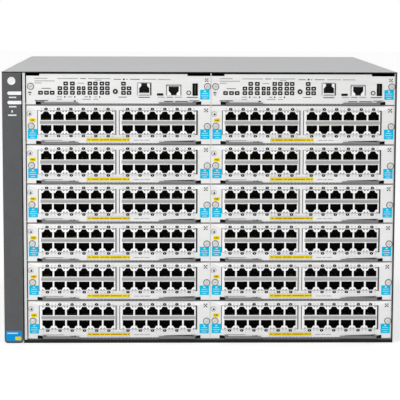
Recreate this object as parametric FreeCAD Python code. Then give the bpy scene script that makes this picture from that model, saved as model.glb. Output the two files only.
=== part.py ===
import FreeCAD, Part
import math
import os

# Modular chassis switch, seven rack units tall: twelve 24-port line modules and two management
# modules plug in from the front, four power supplies and a fan tray from the rear.
# Millimetres. The front faces -Y, +Z is up, the origin is the middle of the base's underside.

Vec = FreeCAD.Vector

# ---------------------------------------------------------------- driving sizes
SHEET = 1.2             # steel sheet of the chassis
THIN_SHEET = 1.0        # steel sheet of whatever plugs in
BOARD_T = 1.6           # printed circuit boards

LINE_ROWS = 6           # rows of line modules, two modules to a row
MANAGEMENT_PITCH = 36.5  # height of the management row
BASE_LIP = 4.0          # front lip of the base, below the lowest slot
STATUS_BAY_W = 25.85    # left air duct, outer face to the card cage's inner face
CAGE_GAP = 0.8          # card cage wall to the left column
SIDE_GAP = 0.45         # right wall to the right column

FACE_SET = 3.2          # front of the bezel to the front of the module faceplates
MODULE_D = 262.0        # faceplate front to the end of the backplane plug
RECEPTACLE_D = 12.0     # receptacles on the midplane
MIDPLANE_T = 3.0
REAR_BAY_D = 158.4      # midplane to the rear face
HANDLE_REACH = 12.0     # rear handles, out from the rear face

FACE_INSET = 0.3        # faceplate edge to the edge of its column
FACE_GAP = 0.6          # faceplate top to the slot above
FACE_FOOT = 0.8         # faceplate bottom above its slot's floor
PLUG_GAP = 0.3          # between things that plug together
SEAT_GAP = 0.2          # between pieces mounted on one module
SLIDE_GAP = 0.3         # a module's pan above its rail

RAIL_Z = 0.8            # rail's underside above the slot floor
RAIL_REACH = 5.0        # rail, in from the edge of the column
PAN_INSET = 1.6         # module pan, in from the edge of the column
PAN_FLANGE = 12.0       # turned-up sides of the pan
NOSE_ROOM = 4.0         # behind the faceplate, kept free for the lever noses

PORTS_ACROSS = 6        # ports side by side in one jack block
PORT_PITCH = 13.97
PORT_WALL = 2.47        # between two ports side by side
PORT_SHOULDER = 5.3     # height of the plug opening's full-width part
PORT_H = 8.5            # height with the latch notch
NOTCH_W = 5.6           # latch notch at its end; it widens to the shoulders
PORT_DEPTH = 12.0
PORT_WEB = 5.7          # between the upper and lower rows
JACK_END = 2.0          # jack block beyond its outer ports' pitch
JACK_RIM = 2.05         # jack block above and below its ports
JACK_D = 17.0
JACK_PROUD = 0.4        # jack blocks, out from the faceplate
JACK_FOOT = 11.7        # room under the jack blocks for the pan, the board and the levers
JACK_HEAD = 6.2         # room over them
MARGIN_LEFT, JACK_SPACE, MARGIN_RIGHT = 13.4, 3.98, 15.08    # beside and between the two blocks

LEVER_L = 41.0          # pivot to free end
LEVER_T = 2.3
LEVER_R = 1.35          # rounded pivot end, and half the arm's depth
LEVER_PIVOT_X = 17.5    # pivot, in from the edge of the column
LEVER_Z = 1.0           # lever's underside above the slot floor
LEVER_GAP = 0.3         # lever to its ear and to the faceplate
EAR_T = 0.9
NOSE = ((-5.0, 2.2), (-4.4, 3.6))      # cam nose, from the pivot
NOTCH_IN, NOTCH_OUT = 6.6, 3.2         # faceplate's notch for the nose, either side of the pivot

PLUG_W, PLUG_D, PLUG_H = 120.0, 14.0, 14.0   # backplane plug of a module
BAY_PLUG_W, BAY_PLUG_H = 50.0, 12.0          # blind plugs of the rear units

SHOULDER_DROP = 3.5       # management faceplate's shoulders, below the cover
STRIP_DROP = 1.4          # top of its grounding strip, below the cover
STRIP_ENDS = (15.2, 26.6)            # ends of the strip, in from the left and right edges
SOCKET_Z = 11.0           # underside of the sockets above the slot floor
LAN_JACK = (83.2, 16.0, 14.4)        # left end, in from the column's right edge; width, height
MICRO_USB = (60.7, 6.8, 2.4)
CONSOLE_JACK = (50.5, 17.0, 12.3)
USB_PORT = (20.8, 5.8, 13.6)
USB_SLOT = (4.9, 12.6, 9.0)          # width, height, depth
MICRO_USB_D = 5.0
BUTTON_IN, BUTTON_Z = 107.7, 15.5    # in from the right edge, up from the slot floor
BUTTON_R, BUTTON_L = 2.6, 6.0
BUTTON_PROUD, BUTTON_TRAVEL, BUTTON_GAP = 1.3, 1.0, 0.3

BEZEL_D, BEZEL_T = 18.0, 2.4
BEZEL_GAP = 1.45        # bezel to the card cage's flange
BEZEL_CORNER = 4.0
LIGHT_L, LIGHT_H, LIGHT_D = 15.6, 4.1, 7.0
LIGHT_DROP = (24.2, 34.7)    # middles of the light pipes, below the top
LIGHT_GAP = 0.15
FLANGE_W = 2.9          # card cage's front flange

SUPPLIES = 4            # side by side along the base
SUPPLY_H = 84.0
BAY_FRAME = 6.0         # rear sheet left standing round each opening
BAY_GAP = 0.5           # rear units to their openings and shelves
FANS = 2                # side by side in the fan tray
FAN_TRAY_D = 62.0
FAN_SIZE, FAN_D = 150.0, 38.0
FAN_RIM, ROTOR_GAP = 4.0, 1.5          # frame's least wall round its bore; blade tips to the bore
FAN_ROOM = 8.0          # tray above and below the fans
GRIP_ROOM = 10.0        # tray's sheet left standing at each end of its handle
MOTOR_R, MOTOR_T, STRUT_W = 27.0, 4.0, 7.0
BORE_FLATS, HUB_FLATS = 36, 21         # flats that round off a fan's bore and its hub
BLADES, BLADE_CHORD, BLADE_T, BLADE_PITCH = 7, 40.0, 2.0, 38.0
ROTOR_D = 28.0
HANDLE_W, HANDLE_T, HANDLE_H = 56.0, 3.0, 10.0
INLET_W, INLET_H, INLET_D, INLET_RIM = 24.4, 17.0, 16.0, 2.4
INLET_CORNER = 5.0

BRACKET_SCREW_R = 2.1   # clearance for M4
BRACKET_DZ = 200.0      # rack bracket screws, two to a side, one above the other
BRACKET_Y, BRACKET_Z = 50.0, 150.0     # their middle, from the front and from the base
BRACKET_NUT = 12.0      # square room behind each screw on the right
VENTS, VENT_ROWS = 6, 2                # slots along each side wall, and one above the other
VENT_W, VENT_WEB = 14.0, 12.0          # a slot's width, and the sheet between two rows
VENT_FRONT, VENT_REAR = 72.0, 22.0     # first slot from the front, last slot to the midplane
VENT_FOOT, VENT_HEAD = 36.0, 46.0      # slots from the base and from the top
COVER_LIP = 10.0
DIMPLE_L, DIMPLE_W = 5.0, 1.6
DIMPLE_X, DIMPLE_Y = (-58.0, 78.0), 75.0

# ---------------------------------------------------------------- places that follow
PORT_W = PORT_PITCH - PORT_WALL
JACK_W = PORTS_ACROSS * PORT_PITCH + 2 * JACK_END
JACK_H = 2 * PORT_H + PORT_WEB + 2 * JACK_RIM
JACK_X = (MARGIN_LEFT, MARGIN_LEFT + JACK_W + JACK_SPACE)    # left ends of the two jack blocks
COLUMN_W = JACK_X[1] + JACK_W + MARGIN_RIGHT                 # width of one column of modules
SLOT_PITCH = JACK_FOOT + JACK_H + JACK_HEAD                  # height of a line module's slot
SLOTS_H = BASE_LIP + LINE_ROWS * SLOT_PITCH
CHASSIS_H = SLOTS_H + MANAGEMENT_PITCH + SHEET
CHASSIS_W = STATUS_BAY_W + CAGE_GAP + 2 * COLUMN_W + SIDE_GAP + SHEET
MIDPLANE_FROM_FRONT = FACE_SET + MODULE_D + PLUG_GAP + RECEPTACLE_D
CHASSIS_D = MIDPLANE_FROM_FRONT + MIDPLANE_T + REAR_BAY_D + HANDLE_REACH

LEFT, RIGHT = -CHASSIS_W / 2, CHASSIS_W / 2
FRONT, REAR = -CHASSIS_D / 2, CHASSIS_D / 2
REAR_FACE = REAR - HANDLE_REACH
FACE_Y = FRONT + FACE_SET                 # front of the faceplates
BEHIND_FACE = FACE_Y + THIN_SHEET
PLUG_END = FACE_Y + MODULE_D
MIDPLANE_Y = FRONT + MIDPLANE_FROM_FRONT
BAY_Y = MIDPLANE_Y + MIDPLANE_T
COLUMNS = [LEFT + STATUS_BAY_W + CAGE_GAP + n * COLUMN_W for n in (0, 1)]
CAGE_X = LEFT + STATUS_BAY_W              # inner face of the card cage's left wall
TUB_FRONT = FRONT + FACE_SET / 3
RAIL_FRONT = BEHIND_FACE + 1.0
RAIL_TOP = RAIL_Z + SHEET
PAN_Z = RAIL_TOP + SLIDE_GAP
JACK_Y = FACE_Y - JACK_PROUD
BUTTON_X = COLUMN_W - BUTTON_IN
LEVER_Y = FACE_Y - LEVER_GAP - LEVER_R    # pivot axis
EAR_Z = LEVER_Z + LEVER_T + LEVER_GAP
BAY_PITCH = (CHASSIS_W - 2 * SHEET) / SUPPLIES
SUPPLY_W = BAY_PITCH - BAY_FRAME
SUPPLY_Z = SHEET + BAY_GAP
SHELF_Z = SUPPLY_Z + SUPPLY_H + BAY_GAP
TRAY_Z = SHELF_Z + SHEET + BAY_GAP
TRAY_W = CHASSIS_W - 2 * SHEET - BAY_FRAME
FAN_TRAY_H = FAN_SIZE + 2 * FAN_ROOM
FAN_Z = TRAY_Z + FAN_TRAY_H / 2
FAN_BORE_R = FAN_SIZE / 2 - FAN_RIM
BEZEL_W = STATUS_BAY_W - FLANGE_W - BEZEL_GAP
LIGHT_Z = [CHASSIS_H - drop for drop in LIGHT_DROP]
SUPPLY_X = [LEFT + SHEET + (n + 0.5) * BAY_PITCH for n in range(SUPPLIES)]
FAN_X = [(n + 0.5) * TRAY_W / FANS - TRAY_W / 2 for n in range(FANS)]
TRAY_GRIP_W = TRAY_W / FANS - 2 * FAN_BORE_R - 2 * GRIP_ROOM
VENT_PITCH = (MIDPLANE_FROM_FRONT - VENT_FRONT - VENT_REAR - VENT_W) / (VENTS - 1)
VENT_H = (CHASSIS_H - VENT_FOOT - VENT_HEAD - (VENT_ROWS - 1) * VENT_WEB) / VENT_ROWS


# ---------------------------------------------------------------- forms
def block(low, high):
    """A box between two corners."""
    size = Vec(*high) - Vec(*low)
    return Part.makeBox(size.x, size.y, size.z, Vec(*low))


def wire(points):
    return Part.makePolygon(list(points) + [points[0]])


def along_y(outline, y0, y1, holes=()):
    """An (x, z) outline with holes, drawn from y0 to y1."""
    loops = [wire([Vec(x, y0, z) for x, z in loop]) for loop in (outline, *holes)]
    return Part.Face(loops).extrude(Vec(0, y1 - y0, 0))


def along_z(outline, z0, z1):
    """An (x, y) outline, drawn from z0 to z1."""
    return Part.Face(wire([Vec(x, y, z0) for x, y in outline])).extrude(Vec(0, 0, z1 - z0))


def rod_y(x, z, radius, y0, y1):
    return Part.makeCylinder(radius, y1 - y0, Vec(x, y0, z), Vec(0, 1, 0))


def flatted(x, z, radius, flats, y0, y1):
    """A round rod along Y whose side is made of flats, one of them on top."""
    corners = [math.pi * (2 * n + 1) / flats for n in range(flats)]
    reach = radius / math.cos(math.pi / flats)
    return along_y([(x + reach * math.sin(a), z + reach * math.cos(a)) for a in corners], y0, y1)


def rectangle(x0, x1, z0, z1):
    return [(x0, z0), (x1, z0), (x1, z1), (x0, z1)]


def across(solid, middle):
    """The same solid on the other side of x = middle."""
    return solid.mirror(Vec(middle, 0, 0), Vec(1, 0, 0))


def write(name, *solids):
    shape = solids[0] if len(solids) == 1 else Part.makeCompound(list(solids))
    shape.exportStep(f"parts/{name}.step")


def moved(solids, x, z):
    return [solid.translated(Vec(x, 0, z)) for solid in solids]


# ---------------------------------------------------------------- chassis
def bracket_heights():
    return [BRACKET_Z - BRACKET_DZ / 2, BRACKET_Z + BRACKET_DZ / 2]


def bracket_holes():
    """Screw holes for the rack brackets through both side walls."""
    return [
        Part.makeCylinder(BRACKET_SCREW_R, SHEET + 2, Vec(x, FRONT + BRACKET_Y, z), Vec(1, 0, 0))
        for x in (LEFT - 1, RIGHT - SHEET - 1)
        for z in bracket_heights()
    ]


def side_vents():
    """Upright air slots through both side walls, beside the modules."""
    return [
        block((x - 1, FRONT + VENT_FRONT + n * VENT_PITCH, VENT_FOOT + row * (VENT_H + VENT_WEB)),
              (x + SHEET + 1, FRONT + VENT_FRONT + n * VENT_PITCH + VENT_W,
               VENT_FOOT + row * (VENT_H + VENT_WEB) + VENT_H))
        for x in (LEFT, RIGHT - SHEET)
        for row in range(VENT_ROWS)
        for n in range(VENTS)
    ]


def chassis_tub():
    """Base and both side walls, one sheet folded to a U, with a low lip across the front."""
    top = CHASSIS_H - SHEET
    outline = [
        (LEFT, 0), (RIGHT, 0), (RIGHT, top), (RIGHT - SHEET, top), (RIGHT - SHEET, SHEET),
        (LEFT + SHEET, SHEET), (LEFT + SHEET, top), (LEFT, top),
    ]
    tub = along_y(outline, TUB_FRONT, REAR_FACE - SHEET)
    lip = block((LEFT + SHEET, TUB_FRONT, 0), (RIGHT, TUB_FRONT + SHEET, BASE_LIP - FACE_INSET))
    bezel_room = block((LEFT - 1, FRONT - 1, -1), (LEFT + BEZEL_W + FACE_GAP, FRONT + BEZEL_D, CHASSIS_H))
    return tub.fuse(lip).cut([bezel_room, *bracket_holes(), *side_vents()]).removeSplitter()


def top_cover():
    """Flat cover with its rear edge turned down over the rear face."""
    low = CHASSIS_H - SHEET
    profile = [
        (FRONT, low), (FRONT, CHASSIS_H), (REAR_FACE + SHEET, CHASSIS_H),
        (REAR_FACE + SHEET, CHASSIS_H - COVER_LIP), (REAR_FACE, CHASSIS_H - COVER_LIP), (REAR_FACE, low),
    ]
    cover = Part.Face(wire([Vec(LEFT, y, z) for y, z in profile])).extrude(Vec(CHASSIS_W, 0, 0))
    dimples = [
        block((x - DIMPLE_L / 2, FRONT + DIMPLE_Y, low - 1),
              (x + DIMPLE_L / 2, FRONT + DIMPLE_Y + DIMPLE_W, CHASSIS_H + 1))
        for x in DIMPLE_X
    ]
    return cover.cut(dimples)


def rail_wall(back, face, tip):
    """A wall with a rail at every slot: its face steps out to tip."""
    top = CHASSIS_H - SHEET
    outline = [(back, top), (back, SHEET), (face, SHEET)]
    for row in range(LINE_ROWS + 1):
        low = BASE_LIP + row * SLOT_PITCH + RAIL_Z
        outline += [(face, low), (tip, low), (tip, low + SHEET), (face, low + SHEET)]
    outline += [(face, top)]
    return along_y(outline, RAIL_FRONT, MIDPLANE_Y)


def card_cage():
    """Left wall with its front flange, and the right rail plate with room for the bracket screws."""
    left = rail_wall(CAGE_X - SHEET, CAGE_X, COLUMNS[0] + RAIL_REACH)
    flange = along_z(
        [
            (CAGE_X - FLANGE_W, TUB_FRONT), (CAGE_X, TUB_FRONT), (CAGE_X, RAIL_FRONT),
            (CAGE_X - SHEET, RAIL_FRONT), (CAGE_X - SHEET, TUB_FRONT + SHEET),
            (CAGE_X - FLANGE_W, TUB_FRONT + SHEET),
        ],
        BASE_LIP, CHASSIS_H - SHEET,
    )
    wall = RIGHT - SHEET
    edge = COLUMNS[1] + COLUMN_W
    right = across(rail_wall(-wall, -wall + SHEET, -edge + RAIL_REACH), 0)
    y, half = FRONT + BRACKET_Y, BRACKET_NUT / 2
    nuts = [
        block((wall - SHEET - 1, y - half, z - half), (wall + 1, y + half, z + half))
        for z in bracket_heights()
    ]
    return left.fuse(flange).removeSplitter(), right.cut(nuts)


def cage_divider():
    """Middle wall between the two columns, with rails both ways."""
    middle = COLUMNS[1]
    right_half = rail_wall(middle, middle + SHEET / 2, middle + RAIL_REACH)
    return across(right_half, middle).fuse(right_half).removeSplitter()


def slot_places():
    """Left edge and floor of every line slot, from the top left, two to a row."""
    return [
        (COLUMNS[column], BASE_LIP + row * SLOT_PITCH)
        for row in reversed(range(LINE_ROWS))
        for column in (0, 1)
    ]


def plug_box(y0, y1, floor_z):
    """A backplane plug or receptacle, in a module's own x."""
    x0 = (COLUMN_W - PLUG_W) / 2
    return block((x0, y0, floor_z), (x0 + PLUG_W, y1, floor_z + PLUG_H))


def midplane():
    """The board between the front slots and the rear bays, with its receptacles."""
    board = block((LEFT + SHEET, MIDPLANE_Y, SHEET), (RIGHT - SHEET, BAY_Y, CHASSIS_H - SHEET))
    pieces = [board]
    y0, y1 = MIDPLANE_Y - RECEPTACLE_D, MIDPLANE_Y - SEAT_GAP
    slots = [(x, z, JACK_FOOT) for x, z in slot_places()]
    slots += [(x, SLOTS_H, SOCKET_Z) for x in COLUMNS]
    for x, z, seat in slots:
        pieces += moved([plug_box(y0, y1, seat)], x, z)
    places = [(x, SUPPLY_Z + SUPPLY_H / 2) for x in SUPPLY_X] + [(0, TRAY_Z + BAY_PLUG_H)]
    pieces += [bay_plug(x, z, BAY_Y + SEAT_GAP, BAY_Y + RECEPTACLE_D) for x, z in places]
    return pieces


def bay_plug(x, z, y0, y1):
    return block((x - BAY_PLUG_W / 2, y0, z - BAY_PLUG_H / 2), (x + BAY_PLUG_W / 2, y1, z + BAY_PLUG_H / 2))


def rear_panel():
    """Rear sheet with an opening for each power supply and one for the fan tray."""
    windows = [
        rectangle(x - SUPPLY_W / 2 - BAY_GAP, x + SUPPLY_W / 2 + BAY_GAP, SHEET, SHELF_Z)
        for x in SUPPLY_X
    ]
    windows.append(rectangle(
        -TRAY_W / 2 - BAY_GAP, TRAY_W / 2 + BAY_GAP, SHELF_Z + SHEET, TRAY_Z + FAN_TRAY_H + BAY_GAP
    ))
    return along_y(rectangle(LEFT, RIGHT, 0, CHASSIS_H - SHEET), REAR_FACE - SHEET, REAR_FACE, windows)


def bay_shelf():
    """Shelf under the fan tray, with the partitions between the power supplies hanging from it."""
    outline = [(RIGHT - SHEET, SHELF_Z + SHEET), (LEFT + SHEET, SHELF_Z + SHEET), (LEFT + SHEET, SHELF_Z)]
    for n in range(1, SUPPLIES):
        x = LEFT + SHEET + n * BAY_PITCH
        near, far = x - SHEET / 2, x + SHEET / 2
        outline += [(near, SHELF_Z), (near, SHEET), (far, SHEET), (far, SHELF_Z)]
    outline += [(RIGHT - SHEET, SHELF_Z)]
    return along_y(outline, BAY_Y, REAR_FACE - SHEET)


# ---------------------------------------------------------------- status bezel
def rounded_bar(x0, x1, z, height, y0, y1):
    """A bar whose left end is a half round and whose right end is square."""
    r = height / 2
    middle = x0 + r
    edges = [
        Part.LineSegment(Vec(x1, y0, z - r), Vec(middle, y0, z - r)).toShape(),
        Part.Arc(Vec(middle, y0, z - r), Vec(x0, y0, z), Vec(middle, y0, z + r)).toShape(),
        Part.LineSegment(Vec(middle, y0, z + r), Vec(x1, y0, z + r)).toShape(),
        Part.LineSegment(Vec(x1, y0, z + r), Vec(x1, y0, z - r)).toShape(),
    ]
    return Part.Face(Part.Wire(edges)).extrude(Vec(0, y1 - y0, 0))


def status_bezel():
    """Moulded cap over the air duct's front, open behind, with slots for the two light pipes."""
    right, top = LEFT + BEZEL_W, CHASSIS_H - SHEET
    cap = block((LEFT, FRONT, 0), (right, FRONT + BEZEL_D, top))
    corners = [e for e in cap.Edges if e.BoundBox.ZMax < 1e-6 and e.BoundBox.YLength > 1]
    cap = cap.makeFillet(BEZEL_CORNER, corners)
    hollow = block((LEFT + BEZEL_T, FRONT + BEZEL_T, BEZEL_CORNER),
                   (right - BEZEL_T, FRONT + BEZEL_D + 1, top - BEZEL_T))
    slots = [
        rounded_bar(right - LIGHT_L, right + 1, z, LIGHT_H, FRONT - 1, FRONT + LIGHT_D + SEAT_GAP)
        for z in LIGHT_Z
    ]
    return cap.cut([hollow, *slots])


def light_pipes():
    """Clear bars that carry the status lamps' light to the bezel's front."""
    right, height = LEFT + BEZEL_W, LIGHT_H - 2 * LIGHT_GAP
    return [
        rounded_bar(right - LIGHT_L + LIGHT_GAP, right, z, height, FRONT + LIGHT_GAP, FRONT + LIGHT_D)
        for z in LIGHT_Z
    ]


# ---------------------------------------------------------------- plug-in modules
def keyed_port(x, z, up):
    """Plug opening with its latch notch: z is the flat side, up is 1 or -1 towards the notch."""
    right = [(PORT_W / 2, 0), (PORT_W / 2, PORT_SHOULDER), (NOTCH_W / 2, PORT_H)]
    left = [(-dx, dz) for dx, dz in reversed(right)]
    return [(x + dx, z + up * dz) for dx, dz in right + left]


def jack_block():
    """Ganged jacks, two rows of six plain pockets, in one housing whose lower left corner is at 0."""
    housing = block((0, JACK_Y, 0), (JACK_W, JACK_Y + JACK_D, JACK_H))
    ports = [
        block((x, JACK_Y - 1, z), (x + PORT_W, JACK_Y + PORT_DEPTH, z + PORT_H))
        for x in [JACK_END + PORT_WALL / 2 + n * PORT_PITCH for n in range(PORTS_ACROSS)]
        for z in (JACK_RIM, JACK_RIM + PORT_H + PORT_WEB)
    ]
    return housing.cut(ports)


def placed(socket):
    """Left end, width and height of a management socket whose left end is given from the right edge."""
    inset, width, height = socket
    return COLUMN_W - inset, width, height


def single_jack(socket, up):
    """One jack of the management module, with its notch up or down."""
    x0, width, height = placed(socket)
    housing = block((x0, JACK_Y, SOCKET_Z), (x0 + width, JACK_Y + JACK_D, SOCKET_Z + height))
    flat = SOCKET_Z + height / 2 - up * PORT_H / 2
    return housing.cut(along_y(keyed_port(x0 + width / 2, flat, up), JACK_Y - 1, JACK_Y + PORT_DEPTH))


def faceplate(top, holes, strip=()):
    """Faceplate with its openings, notches at the foot for the lever noses, and ears over the levers."""
    near, far = LEVER_PIVOT_X - NOTCH_IN, LEVER_PIVOT_X + NOTCH_OUT
    left = [
        (far, FACE_FOOT), (far, EAR_Z), (near, EAR_Z + EAR_T), (near, FACE_FOOT),
        (FACE_INSET, FACE_FOOT), (FACE_INSET, top),
    ]
    right = [(COLUMN_W - x, z) for x, z in reversed(left)]
    plate = along_y([*left, *strip, *right], FACE_Y, BEHIND_FACE, holes)
    ear = block((LEVER_PIVOT_X - LEVER_R, FRONT + SEAT_GAP, EAR_Z),
                (LEVER_PIVOT_X + 2 * LEVER_R, BEHIND_FACE, EAR_Z + EAR_T))
    return plate.fuse([ear, across(ear, COLUMN_W / 2)]).removeSplitter()


def pan():
    """Sheet pan with turned-up sides, which slides on the rails."""
    x0, x1 = PAN_INSET, COLUMN_W - PAN_INSET
    t, top = THIN_SHEET, PAN_Z + PAN_FLANGE
    outline = [
        (x0, PAN_Z), (x1, PAN_Z), (x1, top), (x1 - t, top), (x1 - t, PAN_Z + t),
        (x0 + t, PAN_Z + t), (x0 + t, top), (x0, top),
    ]
    return along_y(outline, BEHIND_FACE + NOSE_ROOM, PLUG_END - PLUG_D)


def board(seat):
    """Circuit board between the pan's sides: seat is the height of what stands on it."""
    inset = PAN_INSET + THIN_SHEET + SEAT_GAP
    top = seat - SEAT_GAP
    return block((inset, BEHIND_FACE + SEAT_GAP, top - BOARD_T), (COLUMN_W - inset, PLUG_END - SEAT_GAP, top))


def window(x0, width, z0, height):
    """Opening in the faceplate round a socket."""
    return rectangle(x0 - SEAT_GAP, x0 + width + SEAT_GAP, z0 - SEAT_GAP, z0 + height + SEAT_GAP)


def line_module():
    """One line module in its own x and z: faceplate, pan, board, two jack blocks and plug."""
    holes = [window(x, JACK_W, JACK_FOOT, JACK_H) for x in JACK_X]
    jacks = jack_block()
    return [
        faceplate(SLOT_PITCH - FACE_GAP, holes),
        pan(),
        board(JACK_FOOT),
        *[jacks.translated(Vec(x, 0, JACK_FOOT)) for x in JACK_X],
        plug_box(PLUG_END - PLUG_D, PLUG_END, JACK_FOOT),
    ]


def usb_port():
    x0, width, height = placed(USB_PORT)
    slot_w, slot_h, slot_d = USB_SLOT
    shell = block((x0, JACK_Y, SOCKET_Z), (x0 + width, JACK_Y + JACK_D, SOCKET_Z + height))
    x, z = x0 + (width - slot_w) / 2, SOCKET_Z + (height - slot_h) / 2
    return shell.cut(block((x, JACK_Y - 1, z), (x + slot_w, JACK_Y + slot_d, z + slot_h)))


def management_module():
    """One management module: faceplate, pan, board, sockets, button switch and plug."""
    sockets = [placed(socket) for socket in (LAN_JACK, CONSOLE_JACK, USB_PORT, MICRO_USB)]
    holes = [window(x0, width, SOCKET_Z, height) for x0, width, height in sockets]
    shoulder, top = MANAGEMENT_PITCH - SHOULDER_DROP, MANAGEMENT_PITCH - STRIP_DROP
    x0, x1 = STRIP_ENDS[0], COLUMN_W - STRIP_ENDS[1]
    plate = faceplate(shoulder, holes, [(x0, shoulder), (x0, top), (x1, top), (x1, shoulder)])
    plate = plate.cut(rod_y(BUTTON_X, BUTTON_Z, BUTTON_R + BUTTON_GAP, FACE_Y - 1, BEHIND_FACE + 1))
    micro_x, micro_w, micro_h = placed(MICRO_USB)
    micro = block((micro_x, FACE_Y, SOCKET_Z), (micro_x + micro_w, FACE_Y + MICRO_USB_D, SOCKET_Z + micro_h))
    button_end = FACE_Y - BUTTON_PROUD + BUTTON_L
    switch = block((BUTTON_X - BUTTON_R, button_end + BUTTON_TRAVEL + PLUG_GAP, SOCKET_Z),
                   (BUTTON_X + BUTTON_R, button_end + BUTTON_L, BUTTON_Z + BUTTON_R))
    return [
        plate,
        pan(),
        board(SOCKET_Z),
        single_jack(LAN_JACK, 1),
        single_jack(CONSOLE_JACK, -1),
        usb_port(),
        micro,
        switch,
        plug_box(PLUG_END - PLUG_D, PLUG_END, SOCKET_Z),
    ]


def mode_button():
    """Round push button through the management faceplate."""
    y0 = FACE_Y - BUTTON_PROUD
    return rod_y(BUTTON_X, BUTTON_Z, BUTTON_R, y0, y0 + BUTTON_L)


def ejector_lever():
    """Left lever, closed: rounded about its pivot, with a cam nose that reaches in behind."""
    r = LEVER_R
    corners = [(-r, 0), *NOSE, (r, r), (LEVER_L, r), (LEVER_L, -r), (0, -r)]
    points = [Vec(LEVER_PIVOT_X + x, LEVER_Y + y, LEVER_Z) for x, y in corners]
    bend = Vec(LEVER_PIVOT_X - r * math.sqrt(0.5), LEVER_Y - r * math.sqrt(0.5), LEVER_Z)
    edges = [Part.LineSegment(a, b).toShape() for a, b in zip(points, points[1:])]
    edges.append(Part.Arc(points[-1], bend, points[0]).toShape())
    return Part.Face(Part.Wire(edges)).extrude(Vec(0, 0, LEVER_T))


# ---------------------------------------------------------------- rear units
def handle(x, z, width):
    """Pull handle, a flat strap bent to a trapezoid, standing out to the rearmost plane."""
    y0, y1, t, slope = REAR_FACE + SEAT_GAP, REAR, HANDLE_T, HANDLE_T
    half, shoulder = width / 2, width / 2 - slope
    right = [(shoulder, y1), (half, y0), (half - t, y0), (shoulder - t, y1 - t)]
    outline = [(x + dx, y) for dx, y in right] + [(x - dx, y) for dx, y in reversed(right)]
    return along_z(outline, z - HANDLE_H / 2, z + HANDLE_H / 2)


def inlet_outline(x, z):
    """Mains inlet opening: a rectangle with its two lower corners cut."""
    w, h, c = INLET_W / 2, INLET_H / 2, INLET_CORNER
    right = [(w - c, -h), (w, c - h), (w, h)]
    return [(x + dx, z + dz) for dx, dz in right] + [(x - dx, z + dz) for dx, dz in reversed(right)]


def power_supply(x):
    """Supply in its bay: closed case, mains inlet, pull handle and the blind plug at its far end."""
    y0, y1 = BAY_Y + RECEPTACLE_D + PLUG_GAP + PLUG_D, REAR_FACE
    x0, x1 = x - SUPPLY_W / 2, x + SUPPLY_W / 2
    inlet_x, inlet_z = x - SUPPLY_W / 4, SUPPLY_Z + SUPPLY_H / 3
    w, h = INLET_W / 2 + INLET_RIM, INLET_H / 2 + INLET_RIM
    depth = INLET_D + INLET_RIM
    room = block((inlet_x - w - SEAT_GAP, y1 - depth - SEAT_GAP, inlet_z - h - SEAT_GAP),
                 (inlet_x + w + SEAT_GAP, y1 + 1, inlet_z + h + SEAT_GAP))
    case = block((x0, y0, SUPPLY_Z), (x1, y1, SUPPLY_Z + SUPPLY_H)).cut(room)
    inlet = block((inlet_x - w, y1 - depth, inlet_z - h), (inlet_x + w, y1, inlet_z + h))
    inlet = inlet.cut(along_y(inlet_outline(inlet_x, inlet_z), y1 - INLET_D, y1 + 1))
    grip = handle(x, SUPPLY_Z + SUPPLY_H - HANDLE_H, HANDLE_W)
    plug = bay_plug(x, SUPPLY_Z + SUPPLY_H / 2, BAY_Y + RECEPTACLE_D + PLUG_GAP, y0 - SEAT_GAP)
    return [case, inlet, grip, plug]


def fan_frame(x):
    """Square fan frame with a round bore; three struts hold the motor's base at its rear side."""
    z, y1 = FAN_Z, REAR_FACE - THIN_SHEET - SEAT_GAP
    half = FAN_SIZE / 2
    frame = block((x - half, y1 - FAN_D, z - half), (x + half, y1, z + half))
    frame = frame.cut(flatted(x, z, FAN_BORE_R, BORE_FLATS, y1 - FAN_D - 1, y1 + 1))
    base = flatted(x, z, MOTOR_R, HUB_FLATS, y1 - MOTOR_T, y1)
    reach = FAN_BORE_R + 1
    strut = block((x, y1 - MOTOR_T, z - STRUT_W / 2), (x + reach, y1, z + STRUT_W / 2))
    struts = [strut.rotated(Vec(x, 0, z), Vec(0, 1, 0), 90 + n * 120) for n in range(3)]
    return frame.fuse([base, *struts]).removeSplitter()


def fan_tray():
    """Tray pulled out of the rear: an open box, the fans' frames, a handle and its plug board."""
    half, z0, z1 = TRAY_W / 2, TRAY_Z, TRAY_Z + FAN_TRAY_H
    y0, y1, t = REAR_FACE - FAN_TRAY_D, REAR_FACE, THIN_SHEET
    box = block((-half, y0, z0), (half, y1, z1))
    inside = block((-half + t, y0 - 1, z0 + t), (half - t, y1 - t, z1 - t))
    w, z = FAN_BORE_R, FAN_Z
    windows = [block((x - w, y1 - t - 1, z - w), (x + w, y1 + 1, z + w)) for x in FAN_X]
    plug_z = TRAY_Z + BAY_PLUG_H
    plug_y = BAY_Y + RECEPTACLE_D + PLUG_GAP
    plug = bay_plug(0, plug_z, plug_y, plug_y + PLUG_D)
    arm_z = plug_z - BAY_PLUG_H / 2 - SEAT_GAP
    arm = block((-BAY_PLUG_W / 2, plug_y, arm_z - BOARD_T), (BAY_PLUG_W / 2, y0 + PLUG_D, arm_z))
    post = block((-BAY_PLUG_W / 4, y0 + t, z0 + t + SEAT_GAP),
                 (BAY_PLUG_W / 4, y0 + PLUG_D - t, arm_z - BOARD_T - SEAT_GAP))
    frames = [fan_frame(x) for x in FAN_X]
    return [box.cut([inside, *windows]), *frames, handle(0, FAN_Z, TRAY_GRIP_W), arm, post, plug]


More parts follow.
